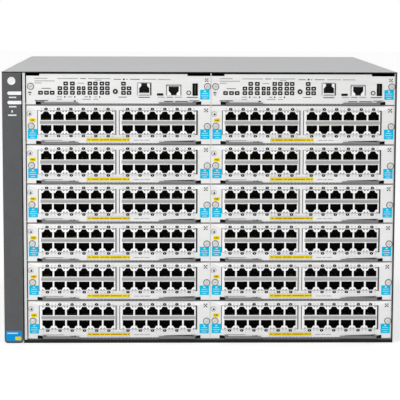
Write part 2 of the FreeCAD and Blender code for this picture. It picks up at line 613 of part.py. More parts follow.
def fan_rotor(x):
    """Hub with slanted blades, turning in front of the motor's base."""
    z = FAN_Z
    y1 = REAR_FACE - THIN_SHEET - SEAT_GAP - MOTOR_T - PLUG_GAP
    hub = flatted(x, z, MOTOR_R, HUB_FLATS, y1 - ROTOR_D, y1)
    tip = FAN_BORE_R - ROTOR_GAP
    run = BLADE_CHORD / 2 * math.cos(math.radians(BLADE_PITCH))
    rise = BLADE_CHORD / 2 * math.sin(math.radians(BLADE_PITCH))
    lift = BLADE_T / 2
    middle = y1 - ROTOR_D / 2
    reach = math.sqrt(tip**2 - (run + lift) ** 2)
    section = [
        Vec(x - run, middle - rise - lift, z), Vec(x + run, middle + rise - lift, z),
        Vec(x + run, middle + rise + lift, z), Vec(x - run, middle - rise + lift, z),
    ]
    blade = Part.Face(wire(section)).extrude(Vec(0, 0, reach))
    blades = [blade.rotated(Vec(x, 0, z), Vec(0, 1, 0), n * 360 / BLADES) for n in range(BLADES)]
    return hub.fuse(blades).removeSplitter()


# ---------------------------------------------------------------- files
def write_chassis():
    write("chassis_tub", chassis_tub())
    write("top_cover", top_cover())
    write("card_cage", *card_cage())
    write("cage_divider", cage_divider())
    write("midplane", *midplane())
    write("rear_panel", rear_panel())
    write("bay_shelf", bay_shelf())
    write("status_bezel", status_bezel())
    write("light_pipes", *light_pipes())


def write_levers(slot, x, z):
    left = ejector_lever()
    for side, lever in (("left", left), ("right", across(left, COLUMN_W / 2))):
        write(f"lever_{slot}_{side}", *moved([lever], x, z))


def write_modules():
    line = line_module()
    for letter, (x, z) in zip("abcdefghijkl", slot_places()):
        write(f"line_module_{letter}", *moved(line, x, z))
        write_levers(letter, x, z)
    management = management_module()
    for number, x in enumerate(COLUMNS, 1):
        write(f"management_module_{number}", *moved(management, x, SLOTS_H))
        write(f"mode_button_{number}", *moved([mode_button()], x, SLOTS_H))
        write_levers(f"m{number}", x, SLOTS_H)


def write_rear_units():
    write("fan_tray", *fan_tray())
    for number, x in enumerate(FAN_X, 1):
        write(f"fan_rotor_{number}", fan_rotor(x))
    for number, x in enumerate(SUPPLY_X, 1):
        write(f"power_supply_{number}", *power_supply(x))


os.makedirs("parts", exist_ok=True)
write_chassis()
write_modules()
write_rear_units()
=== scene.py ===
import bmesh
import bpy
import math
from mathutils import Matrix, Vector
from mathutils.geometry import tessellate_polygon


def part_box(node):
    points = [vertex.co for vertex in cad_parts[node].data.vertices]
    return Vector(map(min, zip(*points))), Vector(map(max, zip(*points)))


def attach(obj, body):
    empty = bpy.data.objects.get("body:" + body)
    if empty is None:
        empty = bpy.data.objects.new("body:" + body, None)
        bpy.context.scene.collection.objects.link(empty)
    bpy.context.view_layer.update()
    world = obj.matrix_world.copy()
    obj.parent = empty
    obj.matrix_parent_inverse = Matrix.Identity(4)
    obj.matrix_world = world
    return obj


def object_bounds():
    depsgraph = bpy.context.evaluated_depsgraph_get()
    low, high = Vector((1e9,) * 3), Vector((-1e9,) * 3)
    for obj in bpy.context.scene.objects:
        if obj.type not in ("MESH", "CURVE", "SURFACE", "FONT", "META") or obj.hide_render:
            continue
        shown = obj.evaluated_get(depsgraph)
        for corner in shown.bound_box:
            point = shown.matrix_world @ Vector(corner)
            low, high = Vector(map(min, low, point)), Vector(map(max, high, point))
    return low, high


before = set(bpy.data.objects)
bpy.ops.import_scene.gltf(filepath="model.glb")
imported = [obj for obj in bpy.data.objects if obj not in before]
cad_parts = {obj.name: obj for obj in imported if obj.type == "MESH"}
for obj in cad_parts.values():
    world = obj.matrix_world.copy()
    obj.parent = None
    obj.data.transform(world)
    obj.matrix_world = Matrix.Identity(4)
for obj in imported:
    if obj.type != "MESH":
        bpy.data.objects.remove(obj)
cad_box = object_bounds()


# ---- Chassis tub and rear panel
# One steel sheet is folded to a U for the base and both sides, and a second one closes the rear.
# Both are powder coated grey, with the faint orange peel of a baked coat; the tub's front edges are black,
# painted shade of the dark gaps round the front.
MM = 0.001      # every size below is in millimetres


def box(node):
    """The lowest and highest corner of a CAD node."""
    return [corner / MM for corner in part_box(node)]


def reckoned(tree, operation, *terms):
    """The result of a sum in a node tree, from sockets or plain numbers."""
    node = tree.nodes.new("ShaderNodeMath")
    node.operation = operation
    for socket, term in zip(node.inputs, terms):
        if isinstance(term, bpy.types.NodeSocket):
            tree.links.new(term, socket)
        else:
            socket.default_value = term
    return node.outputs[0]


def ranged(tree, value, low, high, first=0.3, last=0.7):
    """A value between first and last, mapped to low and high; noise seldom leaves 0.3 to 0.7."""
    span = tree.nodes.new("ShaderNodeMapRange")
    for label, number in (("From Min", first), ("From Max", last), ("To Min", low), ("To Max", high)):
        span.inputs[label].default_value = number
    tree.links.new(value, span.inputs["Value"])
    return span.outputs["Result"]


def noise(group, given, stretch, detail):
    """Noise at the given scale, read at a place that is stretched along one or two axes first."""
    squeeze = group.nodes.new("ShaderNodeVectorMath")
    squeeze.operation = "MULTIPLY"
    squeeze.inputs[1].default_value = stretch
    grain = group.nodes.new("ShaderNodeTexNoise")
    grain.inputs["Detail"].default_value = detail
    group.links.new(given["Place"], squeeze.inputs[0])
    group.links.new(squeeze.outputs[0], grain.inputs["Vector"])
    group.links.new(given["Scale"], grain.inputs["Scale"])
    return grain.outputs["Fac"]


def shaded(group, fac, colour, low, high):
    """The colour made darker and lighter between two factors, after the noise."""
    times = group.nodes.new("ShaderNodeVectorMath")
    times.operation = "SCALE"
    group.links.new(colour, times.inputs[0])
    group.links.new(ranged(group, fac, low, high), times.inputs["Scale"])
    return times.outputs[0]


def spread(group, fac, middle, low, high):
    """A value varied either side of its middle, after the noise."""
    return reckoned(group, "MULTIPLY", middle, ranged(group, fac, low, high))


def effect(name, build):
    """A shader node group: colour, roughness and height that change over the surface."""
    group = bpy.data.node_groups.new(name, "ShaderNodeTree")
    for way, label, kind in (
        ("INPUT", "Place", "Vector"), ("INPUT", "Colour", "Color"), ("INPUT", "Roughness", "Float"),
        ("INPUT", "Scale", "Float"), ("OUTPUT", "Colour", "Color"), ("OUTPUT", "Roughness", "Float"),
        ("OUTPUT", "Height", "Float"),
    ):
        group.interface.new_socket(label, in_out=way, socket_type="NodeSocket" + kind)
    given, out = group.nodes.new("NodeGroupInput"), group.nodes.new("NodeGroupOutput")
    for source, socket in zip(build(group, given.outputs), out.inputs):
        group.links.new(source, socket)
    return group


def powder(group, given):
    peel = noise(group, given, (1, 1, 1), 2)
    cloud = noise(group, given, (0.01, 0.01, 0.01), 3)
    return (shaded(group, cloud, given["Colour"], 0.95, 1.05),
            spread(group, cloud, given["Roughness"], 0.9, 1.1), peel)


POWDER = effect("Powder Coat", powder)


def finish(name, look, colour, roughness, scale, depth, metallic=0.0, coat=0.0, specular=0.5):
    """A material whose colour, roughness and relief come from one of the effects."""
    made = bpy.data.materials.new(name)
    made.use_nodes = True
    nodes, links = made.node_tree.nodes, made.node_tree.links
    shader = nodes["Principled BSDF"]
    for label, value in (("Metallic", metallic), ("Coat Weight", coat), ("Specular IOR Level", specular)):
        shader.inputs[label].default_value = value
    place = nodes.new("ShaderNodeTexCoord")
    surface = nodes.new("ShaderNodeGroup")
    surface.node_tree = look
    for label, value in (("Colour", (*colour, 1)), ("Roughness", roughness), ("Scale", scale)):
        surface.inputs[label].default_value = value
    relief = nodes.new("ShaderNodeBump")
    relief.inputs["Strength"].default_value = 0.35
    relief.inputs["Distance"].default_value = depth * MM
    for source, socket in (
        (place.outputs["Object"], surface.inputs["Place"]),
        (surface.outputs["Colour"], shader.inputs["Base Color"]),
        (surface.outputs["Roughness"], shader.inputs["Roughness"]),
        (surface.outputs["Height"], relief.inputs["Height"]),
        (relief.outputs["Normal"], shader.inputs["Normal"]),
    ):
        links.new(source, socket)
    return made


def paint(node, ground, *areas, corner=(0, 0, 0)):
    """Gives a CAD node its finish, and another to each area: (finish, test of a face's middle).
    The middle is measured from the corner."""
    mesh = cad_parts[node].data
    mesh.materials.clear()
    for look in dict.fromkeys([ground, *[a[0] for a in areas]]):
        mesh.materials.append(look)
    order = list(mesh.materials)
    for face in mesh.polygons:
        middle = face.center / MM - Vector(corner)
        chosen = next((look for look, test in areas if test(middle)), ground)
        face.material_index = order.index(chosen)


def paint_front_shade(node, coat):
    """The coat all over, with black painted shade on the faces at the very front."""
    front = box(node)[0].y
    paint(node, coat, (front_shade_black, lambda p: p.y < front + 0.01))


grey_coat = finish("Grey Powder Coat", POWDER, (0.22, 0.225, 0.23), 0.55, 900, 0.05)
# The black on the front faces is painted shade for the dark gaps round the chassis front.
front_shade_black = finish("Black Edge Paint", POWDER, (0.012, 0.012, 0.013), 0.6, 900, 0.03, specular=0.2)
paint_front_shade("chassis_tub", grey_coat)
paint("rear_panel", grey_coat)


# ---- Top cover
# A flat lid of the same steel in a lighter coat, its rear edge folded down over the rear panel.
# Pan-head screws along both sides hold it to the tub.
light_coat = finish("Light Powder Coat", POWDER, (0.56, 0.565, 0.575), 0.5, 900, 0.04)
# Its front faces are black too, painted shade of the gap under its front edge.
paint_front_shade("top_cover", light_coat)


def rolled(group, given):
    grain = noise(group, given, (0.04, 1, 1), 3)
    cloud = noise(group, given, (0.01, 0.01, 0.01), 3)
    tone = shaded(group, grain, given["Colour"], 0.96, 1.03)
    return (shaded(group, cloud, tone, 0.96, 1.03),
            spread(group, grain, given["Roughness"], 0.85, 1.15), grain)


ROLLED = effect("Rolled Metal", rolled)
screw_steel = finish("Screw Steel", ROLLED, (0.70, 0.70, 0.69), 0.32, 3000, 0.02, metallic=1.0)


def solid(name, made, look):
    """A mesh of one finish from what a bmesh holds."""
    mesh = bpy.data.meshes.new(name)
    made.to_mesh(mesh)
    made.free()
    mesh.materials.append(look)
    return mesh


def turned(name, profile, look, sides=24):
    """A piece turned on the lathe about the Y axis, from (y, radius) points from the axis out."""
    made = bmesh.new()
    rings = []
    for y, r in profile:
        y, r = y * MM, r * MM
        turns = [2 * math.pi * n / sides for n in range(sides)] if r else [0]
        rings.append([made.verts.new((r * math.cos(a), y, r * math.sin(a))) for a in turns])
    for near, far in zip(rings, rings[1:]):
        for n in range(sides):
            corners = [ring[(n + step) % len(ring)]
                       for ring, step in ((near, 0), (near, 1), (far, 1), (far, 0))]
            made.faces.new(list(dict.fromkeys(corners)))
    bmesh.ops.recalc_face_normals(made, faces=made.faces)
    return solid(name, made, look)


def fit(name, mesh, body):
    """A piece in its place, riding on its body."""
    piece = bpy.data.objects.new(name, mesh)
    bpy.context.scene.collection.objects.link(piece)
    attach(piece, body)


def new_tree(name, *inputs):
    """A Geometry Nodes tree with named inputs, and its sizes and its output."""
    tree = bpy.data.node_groups.new(name, "GeometryNodeTree")
    for label, kind in inputs:
        tree.interface.new_socket(label, in_out="INPUT", socket_type="NodeSocket" + kind)
    tree.interface.new_socket("Geometry", in_out="OUTPUT", socket_type="NodeSocketGeometry")
    return tree, tree.nodes.new("NodeGroupInput").outputs, tree.nodes.new("NodeGroupOutput").inputs[0]


def linked(tree, kind, **sources):
    """A node with sockets or plain values given by name, underscores standing for spaces."""
    node = tree.nodes.new(kind)
    for label, source in sources.items():
        socket = node.inputs[label.replace("_", " ")]
        if isinstance(source, bpy.types.NodeSocket):
            tree.links.new(source, socket)
        else:
            socket.default_value = source
    return node


def coat_and_end(tree, size, out, geometry):
    """The last node of every tree gives the whole its material."""
    coated = linked(tree, "GeometryNodeSetMaterial", Geometry=geometry, Material=size["Material"])
    tree.links.new(coated.outputs["Geometry"], out)


def part_on_points(tree, size, out, points, **turn):
    """Ends a tree: the part stands on every point, turned about one axis, made real and coated."""
    turned_by = linked(tree, "ShaderNodeCombineXYZ", **turn)
    part = linked(tree, "GeometryNodeObjectInfo", Object=size["Part"])
    copies = linked(tree, "GeometryNodeInstanceOnPoints", Points=points,
                    Instance=part.outputs["Geometry"], Rotation=turned_by.outputs[0])
    real = linked(tree, "GeometryNodeRealizeInstances", Geometry=copies.outputs["Instances"])
    coat_and_end(tree, size, out, real.outputs["Geometry"])


def index_of(tree):
    return tree.nodes.new("GeometryNodeInputIndex").outputs["Index"]


def grown(name, tree, sizes, part=None):
    """The plain mesh that a Geometry Nodes tree makes from named sizes, and from a part it repeats."""
    holders = [bpy.data.objects.new(name, bpy.data.meshes.new(name))]
    if part:
        holders.append(bpy.data.objects.new(part.name + " one", part))
        sizes = {"Part": holders[1], "Material": part.materials[0], **sizes}
    for holder in holders:
        bpy.context.scene.collection.objects.link(holder)
    work = holders[0].modifiers.new(name, "NODES")
    work.node_group = tree
    sockets = {s.name: s.identifier for s in tree.interface.items_tree if s.in_out == "INPUT"}
    for label, value in sizes.items():
        work[sockets[label]] = value
    bpy.context.view_layer.update()
    seen = holders[0].evaluated_get(bpy.context.evaluated_depsgraph_get())
    mesh = bpy.data.meshes.new_from_object(seen)
    holders[0].modifiers.remove(work)
    for holder in holders:
        bpy.data.objects.remove(holder)
    return mesh


def rows_tree():
    """Columns and rows of one part; each next row is turned about Y by Row Turn."""
    tree, size, out = new_tree(
        "Rows Of One Part", ("Part", "Object"), ("Material", "Material"), ("Start", "Vector"),
        ("Columns", "Int"), ("Rows", "Int"), ("Column Step", "Vector"), ("Row Step", "Vector"),
        ("Row Turn", "Float"))
    across = linked(tree, "GeometryNodeMeshLine", Count=size["Columns"], Start_Location=size["Start"],
                    Offset=size["Column Step"])
    up = linked(tree, "GeometryNodeMeshLine", Count=size["Rows"], Offset=size["Row Step"])
    places = linked(tree, "GeometryNodeInstanceOnPoints", Points=across.outputs["Mesh"],
                    Instance=up.outputs["Mesh"])
    places = linked(tree, "GeometryNodeRealizeInstances", Geometry=places.outputs["Instances"])
    row = reckoned(tree, "MODULO", index_of(tree), size["Rows"])
    part_on_points(tree, size, out, places.outputs["Geometry"],
                   Y=reckoned(tree, "MULTIPLY", row, size["Row Turn"]))
    return tree


ROWS = rows_tree()


def rows_of(part, start, columns, column_step, rows=1, row_step=(0, 0, 0), row_turn=0.0):
    """A mesh of one part set out in columns and rows."""
    return grown(part.name + " rows", ROWS, {
        "Start": Vector(start) * MM, "Columns": columns, "Rows": rows,
        "Column Step": Vector(column_step) * MM, "Row Step": Vector(row_step) * MM, "Row Turn": row_turn,
    }, part)


COVER_SCREW_R, SCREW_EDGE, SCREW_END, SCREW_SUNK, SIDE_SCREWS = 2.6, 9, 30, 0.25, 4

pan_head = turned("cover screw", [
    (0, 0), (0, COVER_SCREW_R * 0.3), (0.25, COVER_SCREW_R * 0.42), (-0.02, COVER_SCREW_R * 0.5),
    (0.02, COVER_SCREW_R * 0.9), (0.15, COVER_SCREW_R), (0.3, COVER_SCREW_R),
], screw_steel)
pan_head.transform(Matrix.Rotation(-math.pi / 2, 4, "X"))
cover_low, cover_high = box("top_cover")
left, right, top = cad_box[0][0] / MM, cad_box[1][0] / MM, cad_box[1][2] / MM
screw_step = (cover_high.y - cover_low.y - 2 * SCREW_END) / (SIDE_SCREWS - 1)
fit("cover_screws", rows_of(
    pan_head, (left + SCREW_EDGE, cover_low.y + SCREW_END, top - SCREW_SUNK),
    2, (right - left - 2 * SCREW_EDGE, 0, 0), SIDE_SCREWS, (0, screw_step, 0)), "chassis")


# ---- Card cage, divider and bay shelf
# Walls with a rail for every slot, folded and riveted from zinc-plated steel and left unpainted.
# The shelf behind the midplane carries the fan tray over the power supplies.
plated = finish("Zinc Plated Steel", ROLLED, (0.62, 0.62, 0.61), 0.36, 700, 0.03, metallic=1.0)
for sheet in ("card_cage", "cage_divider", "bay_shelf"):
    paint(sheet, plated)


# ---- Midplane
# The glass-fibre board that every unit plugs into, with black moulded receptacles pressed on both
# sides. Its green mask shows the edges of the copper tracks under it.
def board_skin(group, given):
    weave = noise(group, given, (1, 1, 1), 1)
    tracks = noise(group, given, (0.02, 0.2, 0.2), 0)
    step = reckoned(group, "PINGPONG", tracks, 0.06)
    edge = ranged(group, step, 0, 1, 0.02, 0.035)
    return (shaded(group, edge, given["Colour"], 0.8, 1.35),
            spread(group, weave, given["Roughness"], 0.9, 1.1), edge)


def moulded(group, given):
    grain = noise(group, given, (1, 1, 1), 4)
    cloud = noise(group, given, (0.02, 0.02, 0.02), 2)
    return (shaded(group, cloud, given["Colour"], 0.93, 1.07),
            spread(group, grain, given["Roughness"], 0.88, 1.12), grain)


BOARD_SKIN = effect("Solder Mask", board_skin)
MOULDED = effect("Moulded Plastic", moulded)
green_board = finish("Green Board", BOARD_SKIN, (0.02, 0.13, 0.06), 0.35, 400, 0.03, coat=0.3)
black_moulding = finish("Black Moulding", MOULDED, (0.014, 0.014, 0.015), 0.5, 4000, 0.02, specular=0.3)

PLANE_T, RECEPTACLE_D = 3, 12
plane_y = box("midplane")[0].y + RECEPTACLE_D
paint("midplane", black_moulding, (green_board, lambda p: plane_y - 0.01 < p.y < plane_y + PLANE_T + 0.01))


# ---- Status bezel
# A dark moulded cap clips over the air duct beside the cage. Two clear bars that carry the lamps' light
# to its front have a faint painted glow; they stand above small printed marks, and the round place for a
# badge is left plain.
def ink(name, colour, specular=0.1):
    """A thin printed coat, or a moulded piece as matt as one."""
    return finish(name, MOULDED, colour, 0.6, 3000, 0.005, specular=specular)


def film(name, colour, specular=0.1):
    """The printed film of a stuck-on label."""
    return finish(name, MOULDED, colour, 0.5, 2000, 0.005, specular=specular)


bezel_plastic = finish("Bezel Plastic", MOULDED, (0.085, 0.087, 0.09), 0.5, 5000, 0.04)
glowing_bar = finish("Frosted Bar", MOULDED, (0.93, 0.94, 0.96), 0.3, 3000, 0.01, coat=0.5)
bar_glow_shader = glowing_bar.node_tree.nodes["Principled BSDF"]
# A faint white emission: painted glow, as no lamp lights the bars.
bar_glow_shader.inputs["Emission Color"].default_value = (1, 1, 1, 1)
bar_glow_shader.inputs["Emission Strength"].default_value = 0.1
paint("status_bezel", bezel_plastic)
paint("light_pipes", glowing_bar)

white_ink = ink("White Ink", (0.88, 0.88, 0.88), 0.2)
badge_metal = finish("Badge Metal", ROLLED, (0.80, 0.80, 0.80), 0.3, 2500, 0.01, metallic=0.9)
blue_label = film("Blue Label", (0.0, 0.36, 0.82))
yellow_label = film("Yellow Label", (0.98, 0.82, 0.0))
INK = 0.06      # thickness of a printed mark


def oblong(x0, z0, x1, z1):
    """The four corners of an upright rectangle."""
    return [(x0, z0), (x1, z0), (x1, z1), (x0, z1)]


def drilled(name, outline, holes, y0, y1, look):
    """A flat plate of an (x, z) outline with holes, from y0 to y1, closed all round."""
    loops = [outline, *holes]
    fills = tessellate_polygon([[Vector((x, z, 0)) * MM for x, z in loop] for loop in loops])
    made = bmesh.new()
    near, far = [[made.verts.new((x * MM, y * MM, z * MM)) for loop in loops for x, z in loop]
                 for y in (y0, y1)]
    for a, b, c in fills:
        made.faces.new((near[a], near[b], near[c]))
        made.faces.new((far[a], far[c], far[b]))
    first = 0
    for loop in loops:
        count = len(loop)
        for n in range(count):
            a, b = first + n, first + (n + 1) % count
            made.faces.new((near[a], near[b], far[b], far[a]))
        first += count
    bmesh.ops.recalc_face_normals(made, faces=made.faces)
    return solid(name, made, look)


def moved(x, y, z):
    return Matrix.Translation(Vector((x, y, z)) * MM)


def gathered(name, parts):
    """One mesh from several with their finishes: each a mesh as it lies, or (mesh, vector or matrix)."""
    whole, looks = bmesh.new(), []
    for part in parts:
        mesh, place = part if isinstance(part, tuple) else (part, (0, 0, 0))
        first_vert, first_face = len(whole.verts), len(whole.faces)
        whole.from_mesh(mesh)
        whole.verts.ensure_lookup_table()
        whole.faces.ensure_lookup_table()
        turn = place if isinstance(place, Matrix) else moved(*place)
        for vert in whole.verts[first_vert:]:
            vert.co = turn @ vert.co
        for look in mesh.materials:
            if look not in looks:
                looks.append(look)
        slots = [looks.index(look) for look in mesh.materials]
        for face in whole.faces[first_face:]:
            face.material_index = slots[face.material_index]
    mesh = solid(name, whole, looks[0])
    for look in looks[1:]:
        mesh.materials.append(look)
    return mesh


def mark(name, x, z, width, height, y, look, thick=INK, round_off=0.18):
    """A printed or stuck-on field, standing a hair proud of the face at y."""
    corner = min(width, height) * round_off
    w, h = width / 2, height / 2
    outline = [
        (x - w + corner, z - h), (x + w - corner, z - h), (x + w, z - h + corner), (x + w, z + h - corner),
        (x + w - corner, z + h), (x - w + corner, z + h), (x - w, z + h - corner), (x - w, z - h + corner),
    ]
    return drilled(name, outline, [], y - thick, y, look)


# The bezel's marks are drawn from the middle of its foot, on its front.
BADGE_R, BADGE_DOWN, BAR_HALF = 4.6, 9.2, 1.9
bezel_low, bezel_high = box("status_bezel")
bars_low, bars_high = box("light_pipes")
bezel_foot = Vector(((bezel_low.x + bezel_high.x) / 2, bezel_low.y, bezel_low.z))
upper_bar = bars_high.z - bezel_low.z - BAR_HALF
lower_bar = bars_low.z - bezel_low.z + BAR_HALF
bezel_marks = [
    mark("bar mark", 1.2, upper_bar - 4.7, 8.5, 1.5, 0, white_ink),
    mark("bar mark", 1.2, lower_bar - 4.7, 8.5, 1.5, 0, white_ink),
    mark("find mark", 0.6, lower_bar - 10, 1.6, 2.6, 0, white_ink),
    mark("find line", 0.6, lower_bar - 14.2, 9.5, 1.5, 0, white_ink),
]
fit("bezel_marks", gathered("bezel marks", [(m, bezel_foot) for m in bezel_marks]), "chassis")

badge = turned("badge place", [
    (-0.15, 0), (-0.15, BADGE_R * 0.8), (-0.28, BADGE_R * 0.86), (-0.28, BADGE_R * 0.96), (0, BADGE_R),
], badge_metal, 40)
badge.transform(moved(bezel_foot.x, bezel_foot.y, bezel_high.z - BADGE_DOWN))
fit("badge_place", badge, "chassis")

bezel_label = [
    mark("low label", 0, 8.6, 18, 11.4, 0, blue_label, round_off=0.05),
    mark("low patch", 4.8, 5.6, 6.6, 4.2, -INK, yellow_label),
    mark("low line", -1.5, 11.6, 12, 1.2, -INK, white_ink),
]
fit("bezel_label", gathered("bezel label", [(m, bezel_foot) for m in bezel_label]), "chassis")


# ---- Line modules
# Each has a plated steel faceplate over two shielded blocks of jacks, a board behind them, and a pan
# that slides on the cage's rails. An ear at each end of its foot carries an ejector lever.
faceplate_steel = finish("Faceplate Steel", ROLLED, (0.84, 0.84, 0.83), 0.42, 500, 0.02, metallic=0.55)
shield_metal = finish("Shield Metal", ROLLED, (0.93, 0.93, 0.93), 0.34, 1500, 0.01, metallic=0.6)
socket_black = finish("Socket Black", MOULDED, (0.004, 0.004, 0.004), 0.6, 4000, 0.01, specular=0.1)
lever_steel = finish("Lever Steel", ROLLED, (0.22, 0.22, 0.225), 0.45, 900, 0.02, metallic=0.4)

FACE_FOOT, FACE_INSET, FACE_T = 0.8, 0.3, 1.0
EAR_REACH, EAR_Z, EAR_T = 3.0, 3.6, 1.0
JACK_LEFT, JACK_SPACE, JACK_W, JACK_H, JACK_FOOT = 13.4, 3.98, 87.82, 26.8, 11.7
JACK_PROUD, JACK_D, PORT_DEPTH = 0.4, 17, 12
BOARD_LOW, BOARD_INSET, PLUG_FROM = 2.0, 3, 247
ABOVE_ALL = 1000


def slot_corner(node):
    """The left foot of a module's slot, which its face is drawn from."""
    low = box(node)[0]
    return Vector((low.x - FACE_INSET, 0, low.z - FACE_FOOT))


slots = {letter: slot_corner(f"line_module_{letter}") for letter in "abcdefghijkl"}
face_y = box("line_module_a")[0].y + EAR_REACH      # front of every faceplate
jack_y = face_y - JACK_PROUD
column_w = box("line_module_a")[1].x + FACE_INSET - slots["a"].x
jack_lefts = [JACK_LEFT, JACK_LEFT + JACK_W + JACK_SPACE]


def within(p, low, high, room=0.001):
    """Whether a point lies in a box made larger all round by a little room."""
    return all(a - room < c < b + room for c, a, b in zip(p, low, high))


def on_jacks(p):
    return any(within(p, (x, jack_y, JACK_FOOT), (x + JACK_W, jack_y + JACK_D, ABOVE_ALL))
               for x in jack_lefts)


def in_port(p):
    front, back = jack_y - 0.2, jack_y + PORT_DEPTH + 0.2
    return any(within(p, (x, front, JACK_FOOT), (x + JACK_W, back, JACK_FOOT + JACK_H), -0.1)
               for x in jack_lefts)


def on_ear(p):
    return p.y < face_y - 0.05 and EAR_Z - 0.05 < p.z < EAR_Z + EAR_T


def on_board(seat):
    """A test for the board, whose top lies just under the seat of the sockets."""
    return lambda p: within(p, (BOARD_INSET, face_y + FACE_T + 0.1, seat - BOARD_LOW),
                            (column_w - BOARD_INSET, ABOVE_ALL, seat - 0.1), 0)


def on_plug(seat):
    return lambda p: p.y > face_y + PLUG_FROM and p.z > seat - 0.05


for letter, corner in slots.items():
    paint(f"line_module_{letter}", faceplate_steel, (socket_black, in_port), (shield_metal, on_jacks),
          (green_board, on_board(JACK_FOOT)), (black_moulding, on_plug(JACK_FOOT)), (lever_steel, on_ear),
          corner=corner)


# ---- Port shields and contacts
# Each block of jacks wears a shield pressed from thin bright sheet. Its opening for a plug narrows in a
# step to the latch notch, and the lower row is the upper one turned over. Eight contacts slope in each.
gold = finish("Gold Plating", ROLLED, (0.95, 0.68, 0.25), 0.28, 3000, 0.01, metallic=1.0)

PORT_STEP, JACK_END, PORT_WEB = 13.97, 2, 5.7
SHIELD_T, SHIELD_SEAM, SHIELD_SHORT = 0.3, 0.12, 0.2
OPENING_W, OPENING_H, OPENING_FOOT = 12.1, 9.8, 2.7
SHOULDER_H, SHOULDER_SLOPE, NOTCH_W, NOTCH_ROOT = 6.5, 0.5, 4.6, 8.0
jack_middle = JACK_FOOT + JACK_H / 2


def boxed(name, low, high, look, bevel=0.0):
    """A block, with softened edges if it has a bevel."""
    made = bmesh.new()
    bmesh.ops.create_cube(made, size=1)
    for vert in made.verts:
        vert.co = [(a + (c + 0.5) * (b - a)) * MM for c, a, b in zip(vert.co, low, high)]
    if bevel:
        bmesh.ops.bevel(made, geom=made.edges, offset=bevel * MM, segments=1, affect="EDGES")
    return solid(name, made, look)


def over_both_blocks(part, foot, y=jack_y):
    """A part set out over all twenty-four ports of a module, the lower row turned upside down."""
    rows = rows_of(part, (0, 0, foot), 6, (PORT_STEP, 0, 0), 2, (0, 0, -2 * foot), math.pi)
    return [(rows, (x + JACK_END + PORT_STEP / 2, y, jack_middle)) for x in jack_lefts]


shoulder = OPENING_FOOT + SHOULDER_H
opening = [
    (OPENING_W / 2, OPENING_FOOT), (OPENING_W / 2, shoulder),
    (NOTCH_ROOT / 2, shoulder + SHOULDER_SLOPE), (NOTCH_W / 2, OPENING_FOOT + OPENING_H),
]
opening += [(-x, z) for x, z in reversed(opening)]
shield_edge = oblong(-PORT_STEP / 2, 0, PORT_STEP / 2, JACK_H / 2 - SHIELD_SHORT)
shield_cell = drilled("port shield", shield_edge, [opening], -SHIELD_T, 0, shield_metal)
shields = over_both_blocks(shield_cell, SHIELD_SEAM)
shield_end = boxed("shield end", (0, -SHIELD_T, -JACK_H / 2), (JACK_END, 0, JACK_H / 2), shield_metal)
for x in jack_lefts:
    shields += [(shield_end, (x + way, jack_y, jack_middle)) for way in (0, JACK_W - JACK_END)]

CONTACT_STEP, CONTACT_T, CONTACT_FROM, CONTACT_TO, CONTACT_TILT = 1.02, 0.35, 4.5, 11.2, 9
contact = boxed("contact", (-CONTACT_T / 2, CONTACT_FROM, -0.15), (CONTACT_T / 2, CONTACT_TO, 0.15), gold)
contact.transform(Matrix.Rotation(math.radians(CONTACT_TILT), 4, "X"))
comb = rows_of(contact, (-3.5 * CONTACT_STEP, 0, 0), 8, (CONTACT_STEP, 0, 0))
port_contacts = gathered("port contacts", over_both_blocks(comb, PORT_WEB / 2 + 0.2))


# ---- Gaskets
# Conductive fingers frame each block in the faceplate's window, heavier at its right end. Along the middle of
# the shield between the rows runs a mid-grey band of painted reflection with a thin grey line of painted
# shade for its rib, and a dark slit stands beside every latch notch.
# Dark grey for gaskets and the USB tongue, also used as painted shade round the screw heads and beside the
# network jack.
gasket_and_shade_dark = finish("Gasket", MOULDED, (0.035, 0.035, 0.038), 0.8, 3000, 0.03)
gasket_grey = finish("Gasket Fingers", ROLLED, (0.26, 0.26, 0.27), 0.5, 1500, 0.02, metallic=0.6)
band_reflection_grey = finish("Band Steel", ROLLED, (0.42, 0.42, 0.425), 0.34, 1500, 0.02, metallic=0.7)

GASKET_T, GASKET_LEFT, GASKET_RIGHT, GASKET_LAP, EDGE_W = 0.12, 0.9, 0.3, 0.54, 0.7
END_W, END_ARM, ARM_H, END_OVER, END_LAP = 1.5, 2.4, 0.9, 0.3, 0.1
BAND_H, RIB_SHADE_H = 4.2, 0.35
SLIT_OUT, SLIT_W, SLIT_H, SLIT_DROP = 5.3, 1.9, 0.9, 0.1
jack_head = JACK_FOOT + JACK_H
shield_y = jack_y - SHIELD_T


def gasket(x):
    inner = oblong(x, JACK_FOOT, x + JACK_W, jack_head)
    outer = oblong(x - GASKET_LEFT, JACK_FOOT - GASKET_LAP, x + JACK_W + GASKET_RIGHT, jack_head + GASKET_LAP)
    return drilled("gasket", outer, [inner], face_y - GASKET_T, face_y, gasket_grey)


def gasket_end(x, look):
    """The heavy right end over the shield's edge, with a short arm turned in at its head and foot."""
    z0, z1 = JACK_FOOT - END_OVER, jack_head + END_OVER
    return drilled("gasket end", [
        (x - END_ARM, z0), (x + END_LAP, z0), (x + END_LAP, z1), (x - END_ARM, z1), (x - END_ARM, z1 - ARM_H),
        (x - END_W, z1 - ARM_H), (x - END_W, z0 + ARM_H), (x - END_ARM, z0 + ARM_H),
    ], [], shield_y - 0.1, shield_y, look)


def along_shield(name, x, height, y, look, round_off=0.18):
    return mark(name, x + JACK_W / 2, jack_middle, JACK_W - 2 * JACK_END, height, y, look, INK, round_off)


gaskets = [gasket(x) for x in jack_lefts]
gaskets += [gasket_end(x + JACK_W, look) for x, look in zip(jack_lefts, (gasket_grey, gasket_and_shade_dark))]
gaskets += [mark("block edge", x - EDGE_W / 2, jack_middle, EDGE_W, JACK_H, face_y - GASKET_T, gasket_and_shade_dark)
            for x in jack_lefts]
